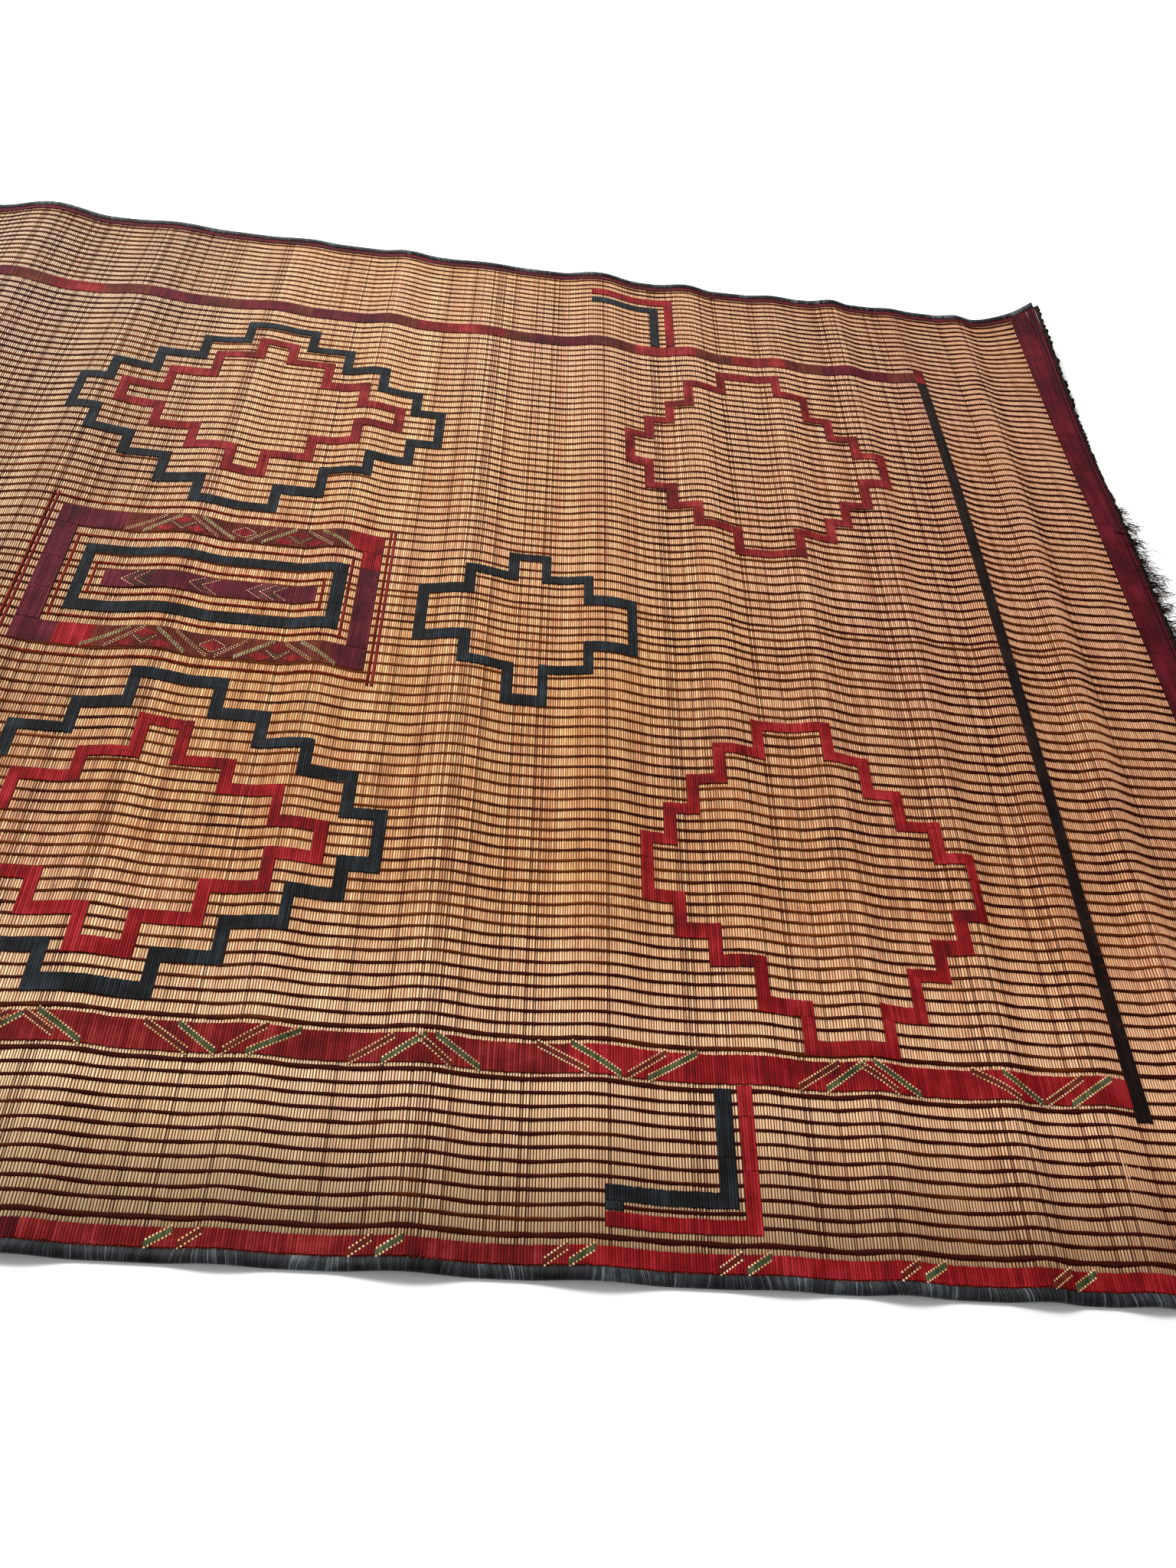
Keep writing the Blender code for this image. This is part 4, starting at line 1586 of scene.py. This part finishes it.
@dataclass
class Fringe:
    """The cut leather fringe of one end: a ragged black edging with curled strands out of it.

    Strands hang together in small locks that lean and curl alike.
    """

    side: int
    inner: float = 1.4973
    outer: float = 1.5025
    low: float = 0.3 * MM
    edge_high: float = 2.4 * MM
    inner_high: float = 4.2 * MM
    rings: int = 620
    ragged: float = 7.0 * MM
    root: float = 1.5005
    root_up: float = 1.9 * MM
    strands: int = 1050
    steps: int = 9
    length: float = 56.0 * MM
    short: float = 8.0 * MM
    short_from: Slope = Slope(0.36, 0.05)
    lock: float = 9.0 * MM
    locks: int = 400
    thickness: float = 0.8 * MM
    farthest: float = 1.5600
    seed: int = 83

    @property
    def word(self) -> str:
        """Which end it is at."""
        return "right" if self.side > 0 else "left"

    def reach(self, y: np.ndarray) -> np.ndarray:
        """Length of the strands at y: short towards the curled corner."""
        share = self.short_from.at(y) if self.side > 0 else np.zeros_like(y)
        return self.length + (self.short - self.length) * share

    def edging(self, rng: np.random.Generator) -> bpy.types.Object:
        """Makes the ragged edging.

        Args:
            rng: Where its random values come from.

        Returns:
            The piece's object.
        """
        bm = bar(4, [], lengthways=False)
        cut(bm, 1, self.rings - 1)
        piece = Piece(f"fringe_edging_{self.word}", bm, 1, rng)
        out, run, level = piece.axes()
        ring = np.rint(run * self.rings).astype(int)
        outer, top = out > 0.0, level > 0.0
        ragged = np.convolve(rng.random(self.rings + 1) ** 2.2, (0.25, 0.5, 0.25), mode="same") * self.ragged
        lumps = rng.uniform(-0.6, 0.6, self.rings + 1) * MM
        y = (run * 2.0 - 1.0) * LAY.panel_half_width
        s = np.where(outer, self.outer + ragged[ring], self.inner)
        up = np.where(top, np.where(outer, self.edge_high, self.inner_high) + lumps[ring], self.low)
        laid = LAY.place(self.side * s, y, up)
        # Painted shade darkens the low outer edge.
        tone = 0.5 * rng.random(out.shape), np.where(outer, 0.3, 0.9), 0.0
        obj = piece.finish(laid, tone, Dye.FRINGE.value.material(), self.side < 0)
        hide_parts(f"fringe_{self.word}")
        return obj

    def curls(self, rng: np.random.Generator) -> bpy.types.Object:
        """Makes the curled strands.

        Args:
            rng: Where their random values come from.

        Returns:
            The piece's object.
        """
        shares = [step / self.steps for step in range(1, self.steps)]
        template = bar(3, shares, lengthways=True, tip=0.55)
        piece = Piece(f"fringe_strands_{self.word}", template, self.strands, rng)
        run, side, high = piece.axes()
        shape = (self.strands, 1)
        y0 = np.sort(rng.uniform(-0.985, 0.985, self.strands))[:, None] * LAY.panel_half_width
        lock = np.floor((y0 + 1.0) / self.lock).astype(int)
        lean = rng.normal(0.0, 0.50, self.locks)[lock] + rng.normal(0.0, 0.25, shape)
        curl = rng.normal(0.0, 1.0, self.locks)[lock] * 0.9 + rng.normal(0.0, 1.0, shape)
        size = rng.uniform(0.45, 1.15, self.locks)[lock] * piece.each(0.70, 1.10)
        length = self.reach(y0) * size
        turns = piece.each(5.0, 11.0)
        angle = lean + curl * 1.7 * run + 0.9 * np.sin(run * turns + piece.each(0.0, TURN))
        s_path, y_path = self.paths(angle, run, length / self.steps)
        lift = np.abs(np.sin(run * math.pi * 0.9)) * piece.each(0.5, 7.5) * MM * (length / self.length)
        radius = self.thickness * piece.each(0.8, 1.25)
        s = np.minimum(self.root + s_path + piece.each(-1.0, 1.5) * MM, self.farthest)
        y = np.clip(y0 + y_path + side * radius, -0.995, 0.995)
        laid = LAY.place(self.side * s, y, self.root_up + lift + high * radius)
        # Painted shade darkens the strands towards their roots.
        tone = piece.each(), 0.45 + 0.55 * run, 0.0
        return piece.finish(laid, tone, Dye.FRINGE.value.material(), self.side < 0)

    def paths(self, angle: np.ndarray, run: np.ndarray, step: np.ndarray) -> tuple[np.ndarray, np.ndarray]:
        """Adds up a strand's short steps.

        Args:
            angle: Heading at each corner.
            run: Share of the length at each corner.
            step: Length of one step.

        Returns:
            Places outward and sideways from the root at each corner.
        """
        levels = np.rint(run[0] * self.steps).astype(int)
        first = [int(np.flatnonzero(levels == level)[0]) for level in range(self.steps + 1)]
        heading = angle[:, first]
        outward = np.cumsum(np.cos(heading) * step, axis=1) - np.cos(heading[:, :1]) * step
        sideways = np.cumsum(np.sin(heading) * step, axis=1) - np.sin(heading[:, :1]) * step
        return outward[:, levels], sideways[:, levels]

    def build(self) -> tuple[bpy.types.Object, bpy.types.Object]:
        """Makes the edging and the strands."""
        rng = np.random.default_rng(self.seed + self.side)
        return self.edging(rng), self.curls(rng)


# The studio


@dataclass
class Studio:
    """A plain pale floor, soft light from above and behind, and the photograph's point of view."""

    eye: tuple[float, float, float] = (0.406, -1.436, 1.271)
    yaw: float = -7.89
    tilt: float = 40.89
    roll: float = 10.67
    lens: float = 28.99
    film_height: float = 36.0
    aim: tuple[float, float, float] = (0.3, 0.0, 0.0)
    floor_size: float = 12.0
    sky: float = 0.50
    sky_colour: tuple[float, float, float, float] = (1.0, 0.99, 0.975, 1.0)

    def floor(self) -> None:
        """Lays the floor under the mat."""
        bm = bmesh.new()
        bmesh.ops.create_grid(bm, x_segments=8, y_segments=8, size=self.floor_size)
        mesh = bpy.data.meshes.new("floor")
        bm.to_mesh(mesh)
        bm.free()
        floor = bpy.data.objects.new("floor", mesh)
        bpy.context.scene.collection.objects.link(floor)
        # Matt white paint hides the floor's own grain, so only the mat's shadow shows on it.
        material, tree, place = begin("matt white floor paint")
        noise = add(tree, "TexNoise", inputs={"Scale": 1.5, "Vector": place})
        tint = add(tree, "ValToRGB", {"stops": ((0.0, "#F7F7F7"), (1.0, "#FBFBFB"))}, {"Fac": noise})
        fill(tree.nodes["Principled BSDF"], {"Base Color": tint, "Roughness": 0.95, "Specular IOR Level": 0.1})
        mesh.materials.append(material)

    def softbox(
        self, name: str, place: tuple[float, float, float], size: tuple[float, float], power: float
    ) -> None:
        """Adds a soft light that faces the mat's middle.

        Args:
            name: The light's name.
            place: Where it stands.
            size: Its width and height.
            power: Its power in watts.
        """
        light = bpy.data.lights.new(name, "AREA")
        light.shape = "RECTANGLE"
        light.size, light.size_y = size
        light.energy = power
        obj = bpy.data.objects.new(name, light)
        bpy.context.scene.collection.objects.link(obj)
        obj.location = place
        obj.rotation_euler = (Vector(self.aim) - Vector(place)).to_track_quat("-Z", "Y").to_euler()

    def camera(self) -> None:
        """Stands the camera where the photograph was taken from."""
        camera = bpy.data.cameras.new("photo_view")
        camera.sensor_fit = "VERTICAL"
        camera.sensor_height = self.film_height
        camera.lens = self.lens
        camera.clip_start, camera.clip_end = 0.05, 60.0
        obj = bpy.data.objects.new("photo_view", camera)
        bpy.context.scene.collection.objects.link(obj)
        yaw, tilt, roll = (
            Matrix.Rotation(math.radians(angle), 3, axis)
            for angle, axis in ((self.yaw, "Z"), (self.tilt, "X"), (self.roll, "Z"))
        )
        obj.matrix_world = Matrix.Translation(self.eye) @ (yaw @ tilt @ roll).to_4x4()
        bpy.context.scene.camera = obj

    def set_up(self) -> None:
        """Builds the floor, the lights and the camera."""
        scene = bpy.context.scene
        scene.view_settings.view_transform = "Standard"
        self.floor()
        world = bpy.data.worlds.new("pale studio")
        world.use_nodes = True
        fill(world.node_tree.nodes["Background"], {"Color": self.sky_colour, "Strength": self.sky})
        scene.world = world
        self.softbox("window_behind", (-1.0, 5.0, 3.0), (3.6, 1.6), 270.0)
        self.softbox("key_above", (-2.4, 1.6, 4.0), (1.6, 1.6), 320.0)
        self.camera()


# The mat


class Mat:
    """The whole mat, built piece by piece."""

    def __init__(self) -> None:
        """Settles the reeds and the chart."""
        self.reeds = Reeds()
        self.chart = Chart()

    def inlays(self) -> list[bpy.types.Object]:
        """Makes every piece of inlay and stitching.

        Returns:
            The pieces' objects.
        """
        chart, inlay = self.chart, Inlay(self.reeds)
        runs: dict[Dye, list[Run]] = {}
        for shape in (*chart.rings(), *chart.centre(), *chart.frames(), *chart.bands()):
            runs.setdefault(shape.dye, []).extend(shape.runs(self.reeds))
        stitches: dict[Dye, list[Run]] = {}
        for shape in (*chart.diamonds(), *chart.limbs()):
            for dye, run in shape.stitches(self.reeds):
                stitches.setdefault(dye, []).append(run)
        slots = {Dye.BLACK: "black_leather", Dye.TAR: "black_leather"}
        pieces = []
        for dye, found in runs.items():
            slot = slots.get(dye, "red_leather")
            pieces.append(inlay.build(f"inlay_{dye.name.lower()}", dye, found, False, slot))
        for dye, found in stitches.items():
            pieces.append(inlay.build(f"stitching_{dye.name.lower()}", dye, found, True, "fringe_leather"))
        return pieces

    def build(self) -> None:
        reeds = self.reeds.build()
        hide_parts("reed_panel")
        half = len(ROWS) // 2
        thongs = Thongs()
        pieces = [thongs.build("thongs_near", ROWS[:half], 0), thongs.build("thongs_far", ROWS[half:], 1)]
        pieces += self.inlays()
        for side in (-1, 1):
            binding = Binding(side)
            pieces += [binding.build(), binding.stitches(), EndStrip(side).build(), *Fringe(side).build()]
        LOG.info("%d pieces on the sheet", len(pieces))


def main() -> None:
    """Builds the mat and the studio."""
    logging.basicConfig(level=logging.INFO, format="%(name)s: %(message)s")
    Mat().build()
    Studio().set_up()


if __name__ == "__main__":
    main()
